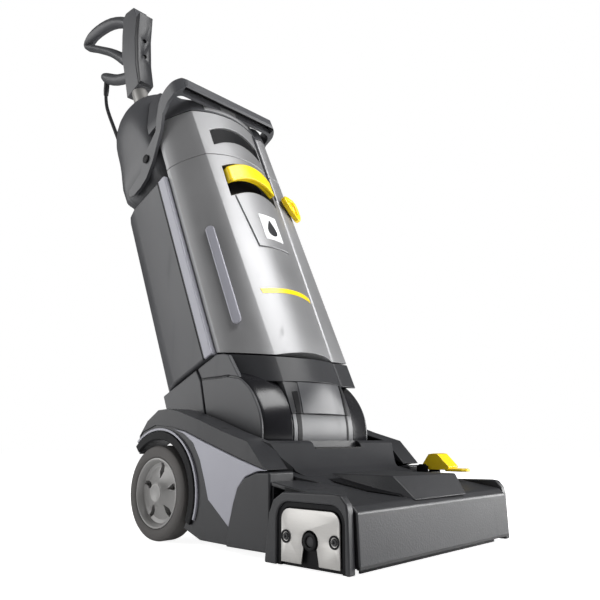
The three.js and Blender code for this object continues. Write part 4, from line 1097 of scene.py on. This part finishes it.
class SCRUBBER_OT_grip(ScrubberOperator, bpy.types.Operator):
    """Handle tube and the grip with its loop, horn and rocker"""

    bl_idname = "scrubber.grip"
    bl_label = "Grip"

    def build(self, settings):
        loop = [(40, 184, 12), (62, 190, 13), (87, 207, 12.4), (130, 224, 13.4), (170, 230, 14.4),
                (205, 230.6, 14.4), (226, 224, 13), (236, 211, 10.5), (225, 202, 8.4), (200, 191, 8.2),
                (165, 170.6, 8.4), (122, 146.6, 9.4), (88, 121.6, 11), (64, 102, 13), (48, 92, 13)]
        horn = [(14, 45, 15), (26, 48, 15), (52, 55, 12.4), (90, 63.6, 12.4), (122, 80, 13.2), (142, 92, 11.4),
                (149, 98, 7)]
        post = [(-19.6, 6), (20, -11), (33, 38), (51, 98), (55, 150), (54, 190), (46, 199.4), (16, 199.4),
                (2, 172), (4, 120), (-4, 60)]
        room = block(-9.4, 9.4, 24.6, 47.4, 188, 300)
        core = combine(prism(post, -16.4, 16.4, "X"), room)
        show("grip_post", core, GRIP, "upright", "mid plastic", "grip_body", 4.5, 5)
        for name, stations, half in (("grip_loop", loop, 12.6), ("grip_horn", horn, 10.6)):
            piece = show(name, swept(stations, half), GRIP, "upright", "mid plastic", rounding=0, angle=50)
            smoothed(piece)
        refined("grip_front_cover", "dark plastic", 1.2)
        refined("power_rocker", "dark plastic", 1.0)
        refined("handle_tube", "satin steel", 0.4)


SCREWS = ["plate_screw_%s_%s" % (place, side) for place in ("front", "rear") for side in ("left", "right")]
FITTINGS = {
    "black plastic": [
        "chassis", "brush_bearing_left", "brush_bearing_right", "brush_motor", "suction_motor",
        "water_pump", "carry_pivot_left", "carry_pivot_right", "squeegee_front_holder",
        "squeegee_rear_holder", "pedal_bracket", "lower_hook",
    ],
    "black rubber": ["drive_belt", "squeegee_front_blade", "squeegee_rear_blade"],
    "brush bristle": ["roller_brush"],
    "motor casting": ["brush_pulley", "motor_pulley", "grip_screw_lower", "grip_screw_upper", *SCREWS],
    "satin steel": [
        "side_plate_left", "side_plate_right", "axle", "tilt_pin_left", "tilt_pin_right",
    ],
    "yellow plastic": ["cable_hook"],
}
ROUNDING = {"cable_hook": 2.2, "lower_hook": 1.6, "side_plate_left": 0.5, "side_plate_right": 0.5,
            "roller_brush": 0.3}


class SCRUBBER_OT_fittings(ScrubberOperator, bpy.types.Operator):
    """Plates, screws, bearings, brush, motors, blades and hooks"""

    bl_idname = "scrubber.fittings"
    bl_label = "Fittings"

    def build(self, settings):
        for look, names in FITTINGS.items():
            for name in names:
                refined(name, look, ROUNDING.get(name, 0.6))
        for name in SCREWS:
            corners = [Vector(corner) for corner in frame["nodes"][name].bound_box]
            centre = sum(corners, Vector()) / 8 / MM
            sign = -1 if centre.x < 0 else 1
            band = ring(166.35, 166.9, 4.6, 6.6, (0, centre.y, centre.z), 40)
            show("ring_" + name, sided(band, sign), Matrix.Scale(MM, 4), "base", "black plastic",
                 rounding=0)


# ---- Panel and registration ----
OPERATORS = (
    SCRUBBER_OT_stage, SCRUBBER_OT_lead, SCRUBBER_OT_deck, SCRUBBER_OT_ends, SCRUBBER_OT_saddle,
    SCRUBBER_OT_wheels, SCRUBBER_OT_pedal, SCRUBBER_OT_knuckle, SCRUBBER_OT_housing, SCRUBBER_OT_tank,
    SCRUBBER_OT_latch, SCRUBBER_OT_crown, SCRUBBER_OT_carry, SCRUBBER_OT_grip, SCRUBBER_OT_fittings,
)


class SCRUBBER_PT_panel(bpy.types.Panel):
    """Buttons for the stage and each group of pieces"""

    bl_label = "Floor Scrubber"
    bl_space_type = "VIEW_3D"
    bl_region_type = "UI"
    bl_category = "Scrubber"

    def draw(self, context):
        settings = context.scene.scrubber
        for name in settings.__annotations__:
            self.layout.prop(settings, name)
        for operator in OPERATORS:
            self.layout.operator(operator.bl_idname)


CLASSES = (ScrubberSettings, *OPERATORS, SCRUBBER_PT_panel)


def register():
    for cls in CLASSES:
        bpy.utils.register_class(cls)
    bpy.types.Scene.scrubber = bpy.props.PointerProperty(type=ScrubberSettings)


def unregister():
    del bpy.types.Scene.scrubber
    for cls in reversed(CLASSES):
        bpy.utils.unregister_class(cls)


def main():
    register()
    for operator in OPERATORS:
        getattr(bpy.ops.scrubber, operator.bl_idname.split(".")[1])()


if __name__ == "__main__":
    main()
